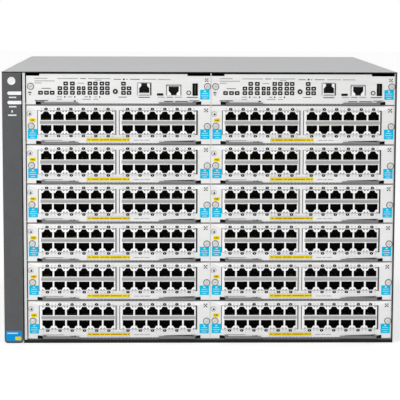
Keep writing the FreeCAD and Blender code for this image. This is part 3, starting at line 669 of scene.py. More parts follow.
# Painted reflection: a flat mid-grey band for the darker reflection of the shield's metal between the rows.
gaskets += [along_shield("shield band", x, BAND_H, shield_y, band_reflection_grey, 0.04) for x in jack_lefts]
# Painted shade: a thin grey line for the shading of the rib in the band's middle.
gaskets += [along_shield("shield seam", x, RIB_SHADE_H, shield_y - INK, gasket_grey) for x in jack_lefts]
for out in (SLIT_OUT, -SLIT_OUT):
    slit = mark("slit", out, 0, SLIT_W, SLIT_H, -SHIELD_T, gasket_and_shade_dark, INK, 0.3)
    gaskets += over_both_blocks(slit, OPENING_FOOT + OPENING_H - SLIT_DROP)


# ---- Module labels and printed marks
# Dark ovals number the ports above and below each block, each with a faint lamp mark on either side.
# Labels are plain fields with simple shapes: an arrow, pale bars, a yellow strip, short lines.
dark_ink = ink("Dark Ink", (0.004, 0.004, 0.005))
grey_ink = ink("Mid Grey Ink", (0.2, 0.2, 0.205))
pale_ink = ink("Pale Grey Ink", (0.42, 0.42, 0.43))
faint_ink = ink("Faint Grey Ink", (0.60, 0.60, 0.61))
cyan_label = film("Cyan Label", (0.0, 0.64, 0.98), 0.05)
label_film = film("Label Film", (0.76, 0.77, 0.90), 0.2)
orange_ink = film("Orange Ink", (0.60, 0.24, 0.0))

OVAL_W, OVAL_H, OVAL_OUT, LAMP_OUT = 4.3, 2.9, 15.3, 4.9
TAG_W, TAG_H = 10.8, 11.2
RING_X, RING_Z = 3.9, 35.1
STRIP_X, STRIP_Z = 92, 5.6


def oval(name, width, height, look, thick=INK, sides=16):
    turns = [2 * math.pi * n / sides for n in range(sides)]
    outline = [(width / 2 * math.cos(a), height / 2 * math.sin(a)) for a in turns]
    return drilled(name, outline, [], -thick, 0, look)


def arrow(x, z, length, height, y, look):
    shaft, h = height * 0.22, height / 2
    outline = [
        (x - length / 2, z - shaft), (x, z - shaft), (x, z - h), (x + length / 2, z), (x, z + h),
        (x, z + shaft), (x - length / 2, z + shaft),
    ]
    return drilled("arrow", outline, [], y - INK, y, look)


def bar_tag(x, z):
    """A cyan tag with four pale bars of different length."""
    bars = [mark("tag bar", x, z + TAG_H * (0.32 - 0.22 * n), TAG_W * share, height, face_y - INK, white_ink)
            for n, (share, height) in enumerate(((0.2, 1.5), (0.6, 0.6), (0.7, 0.6), (0.45, 0.6)))]
    return [mark("tag", x, z, TAG_W, TAG_H, face_y, cyan_label, round_off=0.04), *bars]


def checker(x, z, cell):
    """Five dark cells, at the corners and in the middle of a square."""
    corners = rows_of(mark("cell", 0, 0, cell, cell, 0, dark_ink), (x - cell, face_y, z - cell),
                      2, (2 * cell, 0, 0), 2, (0, 0, 2 * cell))
    return [corners, mark("cell", x, z, cell, cell, face_y, dark_ink)]


legend = []
for part in (
    oval("number oval", OVAL_W, OVAL_H, dark_ink),
    mark("number dot", 0, 0, 0.5, 1.3, -INK, white_ink, INK / 2),
    mark("lamp mark", LAMP_OUT, 0.2, 1.9, 1.0, 0, faint_ink),
    mark("lamp twin", -LAMP_OUT, 0.2, 1.9, 1.0, 0, faint_ink),
):
    legend += over_both_blocks(part, OVAL_OUT, face_y)

for name, x, radius, thick, look in (("slot ring edge", RING_X - 0.2, 3.2, INK, pale_ink),
                                     ("slot ring", RING_X, 2.7, 2 * INK, white_ink)):
    legend.append((turned(name, [(-thick, 0), (-thick, radius), (0, radius)], look), (x, face_y, RING_Z)))
legend += [
    drilled("slot mark", [(2.9, 33.6), (5.5, 33.6), (4.3, 36.7)], [], face_y - 3 * INK, face_y - 2 * INK,
            dark_ink),
    mark("arrow tag", 7.0, 27.8, 7.2, 4.2, face_y, yellow_label),
    arrow(7.0, 27.8, 5.2, 2.8, face_y - INK, orange_ink),
    *bar_tag(7.1, 12.2),
    *bar_tag(column_w - 6.7, 12.0),
    *checker(column_w - 5.4, 39.0, 1.4),
    mark("foot strip ground", STRIP_X, STRIP_Z, 49.6, 6.4, face_y, label_film, INK / 2, 0.04),
    mark("foot strip", STRIP_X, STRIP_Z, 49, 3.4, face_y, yellow_label, round_off=0.04),
    *[mark("foot line", x, STRIP_Z, w, 1.1, face_y - INK, orange_ink)
      for x, w in ((70.3, 3), (77.3, 8), (84.8, 4), (90.3, 5.5), (100.8, 13), (110.6, 4), (114.8, 2))],
    *[mark("foot print", x, z, w, 0.8, face_y, pale_ink)
      for x, z, w in ((29, 5.0, 23), (124, 5.2, 6), (130, 5.2, 4), (136, 5.2, 6))],
    mark("foot oval", 53.2, 3.2, 3.4, 1.6, face_y, dark_ink, round_off=0.4),
    mark("foot word", 49.6, 3.3, 3.4, 1.2, face_y, grey_ink),
    drilled("lever shadow", [(155, 3.7), (190.2, 3.5), (190.2, 5.0), (168, 4.5), (155, 4.2)], [],
            face_y - INK, face_y, dark_ink),
]
module_legend = gathered("module legend", legend)


# ---- Captive screws and notch shade plates
# A knurled head on a sprung collar stands at each end of a faceplate, in a ring of painted shade; its slot is
# a dark mark of painted shade. A black plate of painted shade closes each lever's notch from behind, just
# clear of the turning nose.
# Black painted shade for each lever's notch and nose.
notch_shade_black = finish("Blackened Steel", ROLLED, (0.006, 0.006, 0.007), 0.6, 1200, 0.01, specular=0.1)

SCREW_R, KNURLS = 3.3, 24
NOTCH_SHADE_Y, NOTCH_SHADE_T, NOTCH_SHADE_FROM, NOTCH_SHADE_TO, NOTCH_SHADE_FOOT, NOTCH_SHADE_HEAD = 4.6, 0.3, 9.5, 21.5, 0.9, 4.4


def ring_tree():
    """A number of parts set out round the Z axis at a radius, each turned to face outwards."""
    tree, size, out = new_tree(
        "Ring Of One Part", ("Part", "Object"), ("Material", "Material"), ("Count", "Int"),
        ("Radius", "Float"))
    ring = linked(tree, "GeometryNodeMeshCircle", Vertices=size["Count"], Radius=size["Radius"])
    share = reckoned(tree, "DIVIDE", index_of(tree), size["Count"])
    part_on_points(tree, size, out, ring.outputs["Mesh"], Z=reckoned(tree, "MULTIPLY", share, 2 * math.pi))
    return tree


RING = ring_tree()


def ring_of(part, count, radius):
    """A mesh of one part repeated round the Y axis; the part itself is drawn about Z, facing +X."""
    mesh = grown(part.name + " ring", RING, {"Count": count, "Radius": radius * MM}, part)
    mesh.transform(Matrix.Rotation(math.pi / 2, 4, "X"))
    return mesh


knob = turned("captive screw", [
    (-1.7, 0), (-1.7, SCREW_R * 0.28), (-1.3, SCREW_R * 0.32), (-1.3, SCREW_R * 0.5),
    (-1.9, SCREW_R * 0.62), (-1.9, SCREW_R * 0.84), (-1.6, SCREW_R * 0.9),
    (-0.35, SCREW_R * 0.9), (-0.35, SCREW_R), (0, SCREW_R),
], screw_steel, 32)
# The slot is a dark mark of painted shade, and the well under the head a ring of painted shade.
screw_slot_shade = boxed("screw slot", (-SCREW_R * 0.26, -1.72, -0.22), (SCREW_R * 0.26, -1.6, 0.22), dark_ink)
knurl = boxed("knurl", (-0.12, -0.16, 0.5), (0.14, 0.16, 1.55), screw_steel)
screw_shade_ring = turned("screw well", [(-0.1, 0), (-0.1, SCREW_R * 1.16), (0, SCREW_R * 1.2)], gasket_and_shade_dark, 32)
captive = gathered("captive screw", [knob, screw_slot_shade, ring_of(knurl, KNURLS, SCREW_R * 0.92), screw_shade_ring])

# Black plates of painted shade behind each lever's notch.
notch_shade_plates = [
    boxed("notch liner", (x, face_y + NOTCH_SHADE_Y, NOTCH_SHADE_FOOT),
          (x + NOTCH_SHADE_TO - NOTCH_SHADE_FROM, face_y + NOTCH_SHADE_Y + NOTCH_SHADE_T, NOTCH_SHADE_HEAD), notch_shade_black)
    for x in (NOTCH_SHADE_FROM, column_w - NOTCH_SHADE_TO)
]
module_screws = [(captive, (5.6, face_y, 21.1)), (captive, (column_w - 4.0, face_y, 20.8)), *notch_shade_plates]


# ---- Foot strip
# A strip of spring steel along each faceplate's foot bonds it to the module below; its dark grey is painted
# shade of the faceplate's foot. Its fingers stand in the middle, clear of the levers.
# Dark grey: painted shade along each faceplate's foot; the same steel covers the management modules' top
# shoulder.
strip_and_foot_shade_steel = finish("Spring Strip", ROLLED, (0.17, 0.17, 0.175), 0.45, 900, 0.02, metallic=0.4)

STRIP_T, STRIP_END, STRIP_LOW, STRIP_HIGH = 0.3, 0.6, -0.2, 0.75
FINGER_STEP, FINGER_W, FINGER_FOOT, FINGER_HEAD, LEVER_ROOM = 4.0, 3.7, 0.6, 2.0, 60

finger = boxed("finger", (-FINGER_W / 2, -STRIP_T, FINGER_FOOT), (FINGER_W / 2, 0, FINGER_HEAD),
               strip_and_foot_shade_steel, 0.1)
fingers = int((column_w - 2 * LEVER_ROOM) / FINGER_STEP) + 1
foot_strip = gathered("foot strip", [
    rows_of(finger, (column_w / 2 - (fingers - 1) / 2 * FINGER_STEP, face_y, 0), fingers,
            (FINGER_STEP, 0, 0)),
    boxed("strip", (STRIP_END, face_y - STRIP_T, STRIP_LOW), (column_w - STRIP_END, face_y, STRIP_HIGH),
          strip_and_foot_shade_steel),
])


# ---- Parts on a module's board
# Behind the jacks stand a heat sink over the main chip, smaller chips, coils, capacitors and a scatter
# of small parts, all soldered to the board.
fin_aluminium = finish("Fin Aluminium", ROLLED, (0.72, 0.73, 0.74), 0.38, 1500, 0.02, metallic=1.0)
chip_black = finish("Chip Resin", MOULDED, (0.03, 0.03, 0.032), 0.55, 5000, 0.01)
can_metal = finish("Capacitor Can", ROLLED, (0.75, 0.75, 0.76), 0.3, 2500, 0.01, metallic=1.0)
small_part = finish("Small Parts", MOULDED, (0.30, 0.24, 0.16), 0.5, 4000, 0.01)

BOARD_UNDER = 0.2        # the board's top lies this far under the sockets
SINK_W, SINK_FINS, FIN_T, FIN_H, SINK_BASE = 46, 12, 1, 13, 2.4
SINK_X, SINK_Y, SINK_Z = 82, 96, 4
CHIP_W, CHIP_H, MAIN_CHIP_W, MAIN_CHIP_H = 17, 1.4, 38, 1.6
COIL_W, COIL_H, CAN_R, CAN_H = 10, 5, 4, 8
SMALL_APART = 3.4


def scatter_tree():
    """Small parts strewn over a rectangle by a fixed seed, each turned by a quarter or not."""
    tree, size, out = new_tree(
        "Small Parts On A Board", ("Part", "Object"), ("Material", "Material"), ("Width", "Float"),
        ("Depth", "Float"), ("Count Per Area", "Float"), ("Seed", "Int"))
    field = linked(tree, "GeometryNodeMeshGrid", Size_X=size["Width"], Size_Y=size["Depth"])
    strewn_points = tree.nodes.new("GeometryNodeDistributePointsOnFaces")
    strewn_points.distribute_method = "POISSON"
    tree.links.new(field.outputs["Mesh"], strewn_points.inputs["Mesh"])
    tree.links.new(size["Count Per Area"], strewn_points.inputs["Density Max"])
    tree.links.new(size["Seed"], strewn_points.inputs["Seed"])
    strewn_points.inputs["Distance Min"].default_value = SMALL_APART * MM
    quarter = tree.nodes.new("FunctionNodeRandomValue")
    quarter.data_type = "INT"
    tree.links.new(size["Seed"], quarter.inputs["Seed"])
    next(s for s in quarter.inputs if s.name == "Max" and s.type == "INT").default_value = 1
    drawn = next(s for s in quarter.outputs if s.type == "INT")
    part_on_points(tree, size, out, strewn_points.outputs["Points"],
                   Z=reckoned(tree, "MULTIPLY", drawn, math.pi / 2))
    return tree


SCATTER = scatter_tree()


def strewn(width, depth, per_square_metre, seed):
    return grown("tiny part field", SCATTER, {
        "Width": width * MM, "Depth": depth * MM, "Count Per Area": per_square_metre, "Seed": seed,
    }, tiny)


fin_step = SINK_W / SINK_FINS
fins = rows_of(boxed("fin", (-FIN_T / 2, 0, 0), (FIN_T / 2, SINK_W, FIN_H), fin_aluminium),
               (0, 0, 0), SINK_FINS, (fin_step, 0, 0))
sink_base = boxed("sink base", (-FIN_T, 0, -SINK_BASE), (SINK_W - fin_step + FIN_T, SINK_W, 0), fin_aluminium)
main_chip = boxed("main chip", (0, 0, 0), (MAIN_CHIP_W, MAIN_CHIP_W, MAIN_CHIP_H), chip_black)
chip = boxed("chip", (0, 0, 0), (CHIP_W, CHIP_W, CHIP_H), chip_black, 0.2)
coil = boxed("inductor", (0, 0, 0), (COIL_W, COIL_W, COIL_H), chip_black, 1)
tiny = boxed("tiny part", (-0.9, -0.5, 0), (0.9, 0.5, 0.7), small_part)
can = turned("capacitor", [(0, 0), (0, CAN_R), (0.6 - CAN_H, CAN_R), (-CAN_H, CAN_R - 0.4), (-CAN_H, 0)],
             can_metal, 20)
can.transform(Matrix.Rotation(-math.pi / 2, 4, "X"))

board_parts = [(part, (SINK_X, SINK_Y, SINK_Z)) for part in (fins, sink_base)] + [(main_chip, (85, 100, 0))]
board_parts += [(chip, (x, 50, 0)) for x in (20, 62, 104, 146)] + [(chip, (x, 182, 0)) for x in (62, 126)]
board_parts += [(can, (x, y, 0)) for x in (24, 36, 48) for y in (205, 220)]
board_parts += [(coil, (x, 150, 0)) for x in (20, 36)]
board_parts += [(strewn(40, 34, 22000, seed), (x, y, 0))
                for seed, (x, y) in enumerate(((50, 115), (160, 115), (50, 165), (160, 175), (160, 215)))]
loose_parts = gathered("loose parts", board_parts)
module_board = gathered("board parts", [(loose_parts, (0, face_y, JACK_FOOT - BOARD_UNDER))])


# ---- Line modules put together
# Shields, gaskets, screws and foot strip are fixed to the faceplate, and the other parts to the board,
# so all of them slide with their module.
module_front = gathered("module front", [
    gathered("port shields", shields), gathered("gaskets", gaskets),
    gathered("captive screws", module_screws), foot_strip,
])
for letter, corner in slots.items():
    module = f"line_module_{letter}"
    for name, mesh in (("port_shields", module_front), ("port_contacts", port_contacts),
                       ("legend", module_legend), ("board_parts", module_board)):
        fit(f"{name}_{letter}", gathered(mesh.name, [(mesh, corner)]), module)


# ---- Management modules
# The same build as a line module, lower, with a network jack, a console jack, two serial-bus sockets
# and a mode switch. Rows of status lamps shine through black windows.
SOCKET_Z, SHOULDER_Z = 11, 33
LAN_X, LAN_W, LAN_H = 124.9, 16, 14.4
CONSOLE_X, CONSOLE_W, CONSOLE_H = 157.6, 17, 12.3
USB_X, USB_W, USB_H = 187.3, 5.8, 13.6
MICRO_X, MICRO_W, MICRO_H, MICRO_D = 147.4, 6.8, 2.4, 20
SWITCH_FROM, SWITCH_TO, SWITCH_Y, SWITCH_D = 97, 104, 4, 5
sockets = [(LAN_X, LAN_W, LAN_H), (CONSOLE_X, CONSOLE_W, CONSOLE_H), (USB_X, USB_W, USB_H)]
manager = {number: slot_corner(f"management_module_{number}") for number in (1, 2)}


def on_socket(p):
    return any(within(p, (x, jack_y, SOCKET_Z), (x + w, jack_y + JACK_D, SOCKET_Z + h))
               for x, w, h in sockets)


def in_socket(p):
    return any(within(p, (x, jack_y - 0.19, SOCKET_Z), (x + w, jack_y + JACK_D + 0.1, SOCKET_Z + h), -0.2)
               for x, w, h in sockets)


def on_small_moulding(p):
    """On the small serial-bus socket or the mode switch."""
    seat, switch_y = SOCKET_Z - 0.05, face_y + SWITCH_Y
    micro_end = (MICRO_X + MICRO_W, face_y + MICRO_D, SOCKET_Z + MICRO_H)
    return within(p, (MICRO_X, -ABOVE_ALL, seat), micro_end) or \
        within(p, (SWITCH_FROM, switch_y, seat), (SWITCH_TO, switch_y + SWITCH_D, ABOVE_ALL), 0)


def on_shoulder(p):
    return p.z > SHOULDER_Z + 0.05 and p.y < face_y + FACE_T + 0.05


for number, corner in manager.items():
    paint(f"management_module_{number}", faceplate_steel, (black_moulding, in_socket),
          (shield_metal, on_socket), (black_moulding, on_small_moulding), (green_board, on_board(SOCKET_Z)),
          (black_moulding, on_plug(SOCKET_Z)), (strip_and_foot_shade_steel, on_shoulder), (lever_steel, on_ear),
          corner=corner)

# Lamp windows stand in columns of up to three; each has a small white mark in its middle.
window_black = finish("Window Black", MOULDED, (0.004, 0.004, 0.005), 0.4, 3000, 0.005, specular=0.2)
WINDOW_T, WINDOW_OVER, WINDOW_H, WIDE_WINDOW = 0.12, 0.4, 4.4, 4.5
LAMP_ROWS = (13.9, 19.0, 24.3)
lamp_columns = [
    (16.4, 4.9, 1), (23.1, 4.9, 1), (29.5, 4.9, 1), (38.2, 4.8, 2), (44.7, 4.8, 3), (52.2, 5.0, 3),
    (59.4, 4.1, 2), (64.8, 3.8, 2), (71.8, 4.7, 3), (78.1, 4.7, 3), (85.4, 4.7, 3), (91.5, 4.7, 3),
    (109.6, 4.9, 3), (115.8, 4.9, 2),
]
face_marks = []
for x, width, count in lamp_columns:
    for z in LAMP_ROWS[:count]:
        glyph_w = 2.0 if width > WIDE_WINDOW else 1.3
        face_marks += [
            mark("lamp window", x, z, width + WINDOW_OVER, WINDOW_H, face_y, window_black, WINDOW_T, 0.12),
            mark("lamp glyph", x, z, glyph_w, 1.1, face_y - WINDOW_T, white_ink),
        ]

# Printed legends are short plain bars: (left end, right end, height above the slot's foot) in each ink.
LEGEND_H = 0.9
legend_bars = {
    pale_ink: [
        (9.7, 24.3, 30.1), (9.7, 32.4, 27.2), (9.7, 17.8, 24.9), (35.3, 58.5, 29.9), (69.9, 94.8, 29.9),
        (77.7, 84.9, 28.2), (58.0, 65.6, 24.7), (34.6, 40.7, 9.3), (47.0, 52.0, 9.3), (76.6, 80.2, 9.3),
        (34.6, 40.7, 6.6), (63.0, 72.7, 6.6), (75.6, 81.3, 6.6), (131.0, 146.6, 29.1), (148.5, 162.6, 29.1),
        (148.0, 156.0, 9.1), (167.0, 175.5, 9.1),
    ],
    grey_ink: [
        (17.5, 28.2, 18.8), (61.0, 67.7, 29.9), (65.6, 69.5, 9.3), (98.6, 106.8, 29.1), (112.5, 114.2, 29.1),
        (117.0, 128.0, 29.1), (103.9, 113.2, 9.1), (158.0, 165.5, 9.1), (183.4, 195.0, 5.2),
    ],
    dark_ink: [
        (9.7, 25.0, 5.2), (126.7, 139.2, 8.9), (180.5, 193.3, 9.0), (155.2, 165.5, 4.4), (167.7, 182.2, 4.4),
    ],
}
for look, bars in legend_bars.items():
    face_marks += [mark("legend bar", (x0 + x1) / 2, z, x1 - x0, LEGEND_H, face_y, look)
                   for x0, x1, z in bars]

LOCK_X, LOCK_Z, LOCK_T = 183.1, 14.1, 0.1
face_marks += [
    *[(oval("pinhole", 1.7, 1.9, dark_ink, sides=12), (x, face_y, 9.3)) for x in (43.7, 54.8, 71.8, 82.9)],
    (oval("legend dot", 2.2, 2.0, dark_ink, sides=12), (110, face_y, 29.2)),
    (oval("lock ring", 5.6, 5.0, dark_ink, LOCK_T, 24), (LOCK_X, face_y, LOCK_Z)),
    (oval("lock face", 3.4, 3.1, white_ink, LOCK_T, 20), (LOCK_X, face_y - LOCK_T, LOCK_Z)),
    (oval("pill", 3.0, 1.6, dark_ink), (54.9, face_y, 4.6)),
    (oval("round label", 5.6, 5.6, white_ink, INK, 20), (4.4, face_y, 13.4)),
    mark("round label bar", 4.4, 14.2, 3.4, 1.2, face_y - INK, dark_ink),
    (oval("round label dot", 1.5, 1.5, dark_ink, sides=10), (4.5, face_y - INK, 11.8)),
    *bar_tag(column_w - 6.9, 12.1),
    *checker(column_w - 5.0, 28.4, 1.3),
    (oval("micro mouth", MICRO_W + 0.4, MICRO_H, window_black, 0.1, 20),
     (MICRO_X + MICRO_W / 2, face_y, SOCKET_Z + MICRO_H / 2)),
]

# Round the jacks: a dark notch for the plug's latch, and flat grey and pale bars of painted shade for the
# walls of bent metal.
lan_middle, console_middle = LAN_X + LAN_W / 2, CONSOLE_X + CONSOLE_W / 2
lan_head, console_head = SOCKET_Z + LAN_H, SOCKET_Z + CONSOLE_H
face_marks += [
    mark("lan notch", lan_middle, 23.6, 6.8, 2.8, jack_y, window_black, INK, 0.1),
    mark("lan shade", LAN_X + LAN_W - 0.8, SOCKET_Z + LAN_H / 2, 1.5, LAN_H - 0.6, jack_y, gasket_and_shade_dark),
    mark("lan edge", lan_middle, lan_head - 0.3, LAN_W - 2, 0.7, jack_y - INK, grey_ink),
    mark("lan lip", lan_middle, SOCKET_Z + 1.7, LAN_W - 5, 0.7, jack_y, pale_ink),
    mark("lan lip", lan_middle, SOCKET_Z + 0.4, LAN_W - 4, 0.6, jack_y, grey_ink),
    mark("lan side", LAN_X + 0.7, SOCKET_Z + LAN_H / 2, 0.9, LAN_H - 1, jack_y, pale_ink),
    mark("console top", console_middle, console_head - 0.9, CONSOLE_W - 0.6, 1.6, jack_y, pale_ink),
    *[mark("console side", x, SOCKET_Z + CONSOLE_H / 2, 0.9, CONSOLE_H - 0.6, jack_y, grey_ink)
      for x in (CONSOLE_X + 0.6, CONSOLE_X + CONSOLE_W - 0.6)],
    mark("console notch", console_middle, SOCKET_Z + 1.2, 6.4, 1.6, jack_y, window_black, INK, 0.1),
]

# The flat serial-bus socket has a black frame, and a tongue that carries its contacts.
USB_WALL, USB_LIP, TONGUE_W, TONGUE_FROM, TONGUE_D, TONGUE_END = 0.45, 0.5, 1.6, 0.8, 8, 1.4
usb_head, usb_middle = SOCKET_Z + USB_H, USB_X + USB_W / 2
face_marks += [
    drilled("usb frame", oblong(USB_X, SOCKET_Z, USB_X + USB_W, usb_head),
            [oblong(USB_X + USB_WALL, SOCKET_Z + USB_LIP, USB_X + USB_W - USB_WALL, usb_head - USB_LIP)],
            jack_y - 0.15, jack_y, window_black),
    boxed("usb tongue", (usb_middle - TONGUE_W / 2, jack_y + TONGUE_FROM, SOCKET_Z + TONGUE_END),
          (usb_middle + TONGUE_W / 2, jack_y + TONGUE_FROM + TONGUE_D, usb_head - TONGUE_END),
          gasket_and_shade_dark, 0.1),
]
manager_face = gathered("manager face", face_marks)

# The two single jacks hold eight contacts each; the console's hang from above.
LAN_COMB_UP, CONSOLE_COMB_DOWN = 3.2, 2.2
console_seat = moved(console_middle, jack_y, console_head - CONSOLE_COMB_DOWN)
manager_metal = gathered("manager metal", [
    (captive, (5.2, face_y, 21.1)), (captive, (column_w - 3.9, face_y, 21.1)), foot_strip,
    (comb, (lan_middle, jack_y, SOCKET_Z + LAN_COMB_UP)),
    (comb, console_seat @ Matrix.Rotation(math.pi, 4, "Y")), *notch_shade_plates,
])
for number, corner in manager.items():
    module = f"management_module_{number}"
    fit(f"manager_face_{number}", gathered("manager face", [(manager_face, corner)]), module)
    fit(f"manager_metal_{number}", gathered("manager metal", [(manager_metal, corner)]), module)
    chips = [(chip, (x, y, 0)) for x, y in ((40, 60), (90, 80), (60, 150))]
    chips.append((strewn(60, 50, 20000, 20 + number), (140, 110, 0)))
    board_foot = corner + Vector((0, face_y, SOCKET_Z - BOARD_UNDER))
    fit(f"manager_parts_{number}",
        gathered("manager parts", [(gathered("chips", chips), board_foot)]), module)


# ---- Mode buttons
# A black moulded button with a pale dot in its middle, guided by its hole in the faceplate. Behind it
# stands a small switch on the board.
for number in (1, 2):
    button = f"mode_button_{number}"
    paint(button, black_moulding)
    low, high = box(button)
    dot = turned("button dot", [(-0.12, 0), (-0.12, 0.9), (0, 1.0)], white_ink, 16)
    place = ((low.x + high.x) / 2, low.y, (low.z + high.z) / 2)
    fit(f"button_dot_{number}", gathered("button dot", [(dot, place)]), button)


# ---- Ejector levers
# Pressed steel levers lie along each faceplate's foot and turn on a rivet through an ear.
# The cam nose, painted black as the shade in the lever's notch, reaches behind the faceplate.
LEVER_L, LEVER_R, LEVER_T, NOSE_FROM = 41, 5, 2.3, 0.5
GRIPS, GRIP_W, GRIP_H, GRIP_T, GRIP_STEP, GRIP_END = 4, 0.8, 1.2, 0.12, 1.8, 9

ridge = boxed("grip", (-GRIP_W / 2, -GRIP_T, -GRIP_H / 2), (GRIP_W / 2, 0, GRIP_H / 2), lever_steel)
for key in [*slots, "m1", "m2"]:
    for side, turn in (("left", 1), ("right", -1)):
        lever = f"lever_{key}_{side}"
        low, high = box(lever)
        pivot = low.x + LEVER_R if turn > 0 else high.x - LEVER_R
        # The nose is painted black as the shade in the lever's notch.
        paint(lever, lever_steel, (notch_shade_black, lambda p: (p.x - pivot) * turn < -NOSE_FROM))
        first_grip = (pivot + turn * (LEVER_L - GRIP_END), low.y, low.z + LEVER_T / 2)
        fit(f"grip_{key}_{side}", rows_of(ridge, first_grip, GRIPS, (turn * GRIP_STEP, 0, 0)), lever)


# ---- Power supplies
# A plated steel case slides in on its shelf; a perforated field lets the air out round a mains inlet
# with three pins, a lamp and a black pull handle.
handle_black = finish("Handle Grip", MOULDED, (0.025, 0.025, 0.027), 0.5, 3500, 0.03)
blade_metal = finish("Plated Pin", ROLLED, (0.78, 0.76, 0.70), 0.3, 2500, 0.01, metallic=1.0)
lamp_green = finish("Green Lamp", MOULDED, (0.05, 0.55, 0.12), 0.25, 3000, 0.005, coat=0.6)

HANDLE_REACH, REAR_PLUG_D = 12, 14.1
INLET_W, INLET_H, INLET_D, INLET_RIM = 24.4, 17, 19, 2.5
PIN_W, PIN_H, PIN_L, PIN_Y = 2, 4, 11, 16
VENT_CELL, VENT_R, VENT_T, VENT_COLUMNS, VENT_ROWS = 5.0, 2.0, 0.5, 9, 11
SUPPLY_SCREW_OUT, SUPPLY_SCREW_Z = 48, 40
rear_face = box("power_supply_1")[1].y - HANDLE_REACH


def on_handle(p):
    return p.y > rear_face + 0.1


turns = [math.pi * n / 3 for n in range(6)]
vent_hole = [(VENT_R * math.cos(a), VENT_R * math.sin(a)) for a in turns]
half_cell = VENT_CELL / 2
vent_edge = oblong(-half_cell, -half_cell, half_cell, half_cell)
vent_cell = drilled("vent cell", vent_edge, [vent_hole], 0, VENT_T, plated)
vents = rows_of(vent_cell, (-4, 0, 10), VENT_COLUMNS, (VENT_CELL, 0, 0), VENT_ROWS, (0, 0, VENT_CELL))
# Painted shade: a black field behind the perforations stands for the dark inside of the case.
vent_shade_ground = mark("vent ground", 16, 35, 45, 55, 0.1, black_moulding, 0.1, 0.02)
supply_lamp = turned("supply lamp", [(1.2, 0), (1.1, 1.0), (0.6, 1.5), (0, 1.6)], lamp_green, 16)
supply_screw = turned("supply screw", [(1.6, 0), (1.6, 1.2), (1.2, 2.6), (0, 2.8)], screw_steel, 20)
supply_front = gathered("supply front", [
    vents, vent_shade_ground, (supply_lamp, (-42, 0, 62)),
    *[(supply_screw, (x, 0, SUPPLY_SCREW_Z)) for x in (-SUPPLY_SCREW_OUT, SUPPLY_SCREW_OUT)],
])
pin = boxed("pin", (-PIN_W / 2, 0, -PIN_H / 2), (PIN_W / 2, PIN_L, PIN_H / 2), blade_metal, 0.3)
inlet_pins = gathered("inlet pins", [(pin, (x, -PIN_Y, z)) for x, z in ((-7, -1), (7, -1), (0, 3))])
for number in (1, 2, 3, 4):
    supply = f"power_supply_{number}"
    low, high = box(supply)
    inlet = Vector((low.x + (high.x - low.x) / 4, rear_face, low.z + (high.z - low.z) / 3))
    paint(supply, plated,
          (black_moulding, lambda p: abs(p.x - inlet.x) < INLET_W / 2 + INLET_RIM and
           abs(p.z - inlet.z) < INLET_H / 2 + INLET_RIM and rear_face - INLET_D < p.y < rear_face + 0.01),
          (handle_black, on_handle), (black_moulding, lambda p: p.y < low.y + REAR_PLUG_D))
    foot = ((low.x + high.x) / 2, rear_face, low.z)
    fit(f"supply_front_{number}", gathered("supply front", [(supply_front, foot)]), supply)
    fit(f"inlet_pins_{number}", gathered("inlet pins", [(inlet_pins, inlet)]), supply)


# ---- Fan tray
# An open plated box holds two moulded fan frames; bent wire guards cover their bores, each held by
# four screws, and a black handle pulls the tray.
fan_black = finish("Fan Moulding", MOULDED, (0.03, 0.03, 0.032), 0.55, 3500, 0.03)
wire_steel = finish("Guard Wire", ROLLED, (0.80, 0.80, 0.79), 0.28, 2500, 0.01, metallic=1.0)

FAN_X, FAN_Z, FAN_FRONT, FAN_HALF, SHEET_T = 109.025, 170.9, 174.25, 75.1, 1.1
TRAY_PLUG_Z = 93.8
WIRE_R, RINGS, RING_FIRST, RING_STEP, SPOKE_PAST, WIRE_UP = 0.8, 9, 14, 7, 6, 1.2
TRAY_SCREW_IN, TRAY_SCREW_OUT = 9, 70
tray_low, tray_high = box("fan_tray")


def on_fan_frame(p):
    return FAN_FRONT - 0.01 < p.y < rear_face - SHEET_T and \
        any(abs(p.x - x) < FAN_HALF and abs(p.z - FAN_Z) < FAN_HALF for x in (-FAN_X, FAN_X))


paint("fan_tray", plated, (fan_black, on_fan_frame), (handle_black, on_handle),
      (black_moulding, lambda p: p.y < tray_low.y + REAR_PLUG_D and p.z > TRAY_PLUG_Z))


def guard_tree():
    """Concentric wire rings in the XY plane, from a first radius outwards in equal steps."""
    tree, size, out = new_tree(
        "Wire Rings", ("Material", "Material"), ("Rings", "Int"), ("First Radius", "Float"),
        ("Step", "Float"), ("Wire Radius", "Float"))
    seeds = linked(tree, "GeometryNodeMeshLine", Count=size["Rings"], Offset=(0, 0, 0))
    radius = reckoned(tree, "MULTIPLY_ADD", index_of(tree), size["Step"], size["First Radius"])
    ring = linked(tree, "GeometryNodeCurvePrimitiveCircle", Resolution=48, Radius=1.0)
    copies = linked(tree, "GeometryNodeInstanceOnPoints", Points=seeds.outputs["Mesh"],
                    Instance=ring.outputs["Curve"], Scale=radius)
    real = linked(tree, "GeometryNodeRealizeInstances", Geometry=copies.outputs["Instances"])
    section = linked(tree, "GeometryNodeCurvePrimitiveCircle", Resolution=6, Radius=size["Wire Radius"])
    wires = linked(tree, "GeometryNodeCurveToMesh", Curve=real.outputs["Geometry"],
                   Profile_Curve=section.outputs["Curve"])
    coat_and_end(tree, size, out, wires.outputs["Mesh"])
    return tree


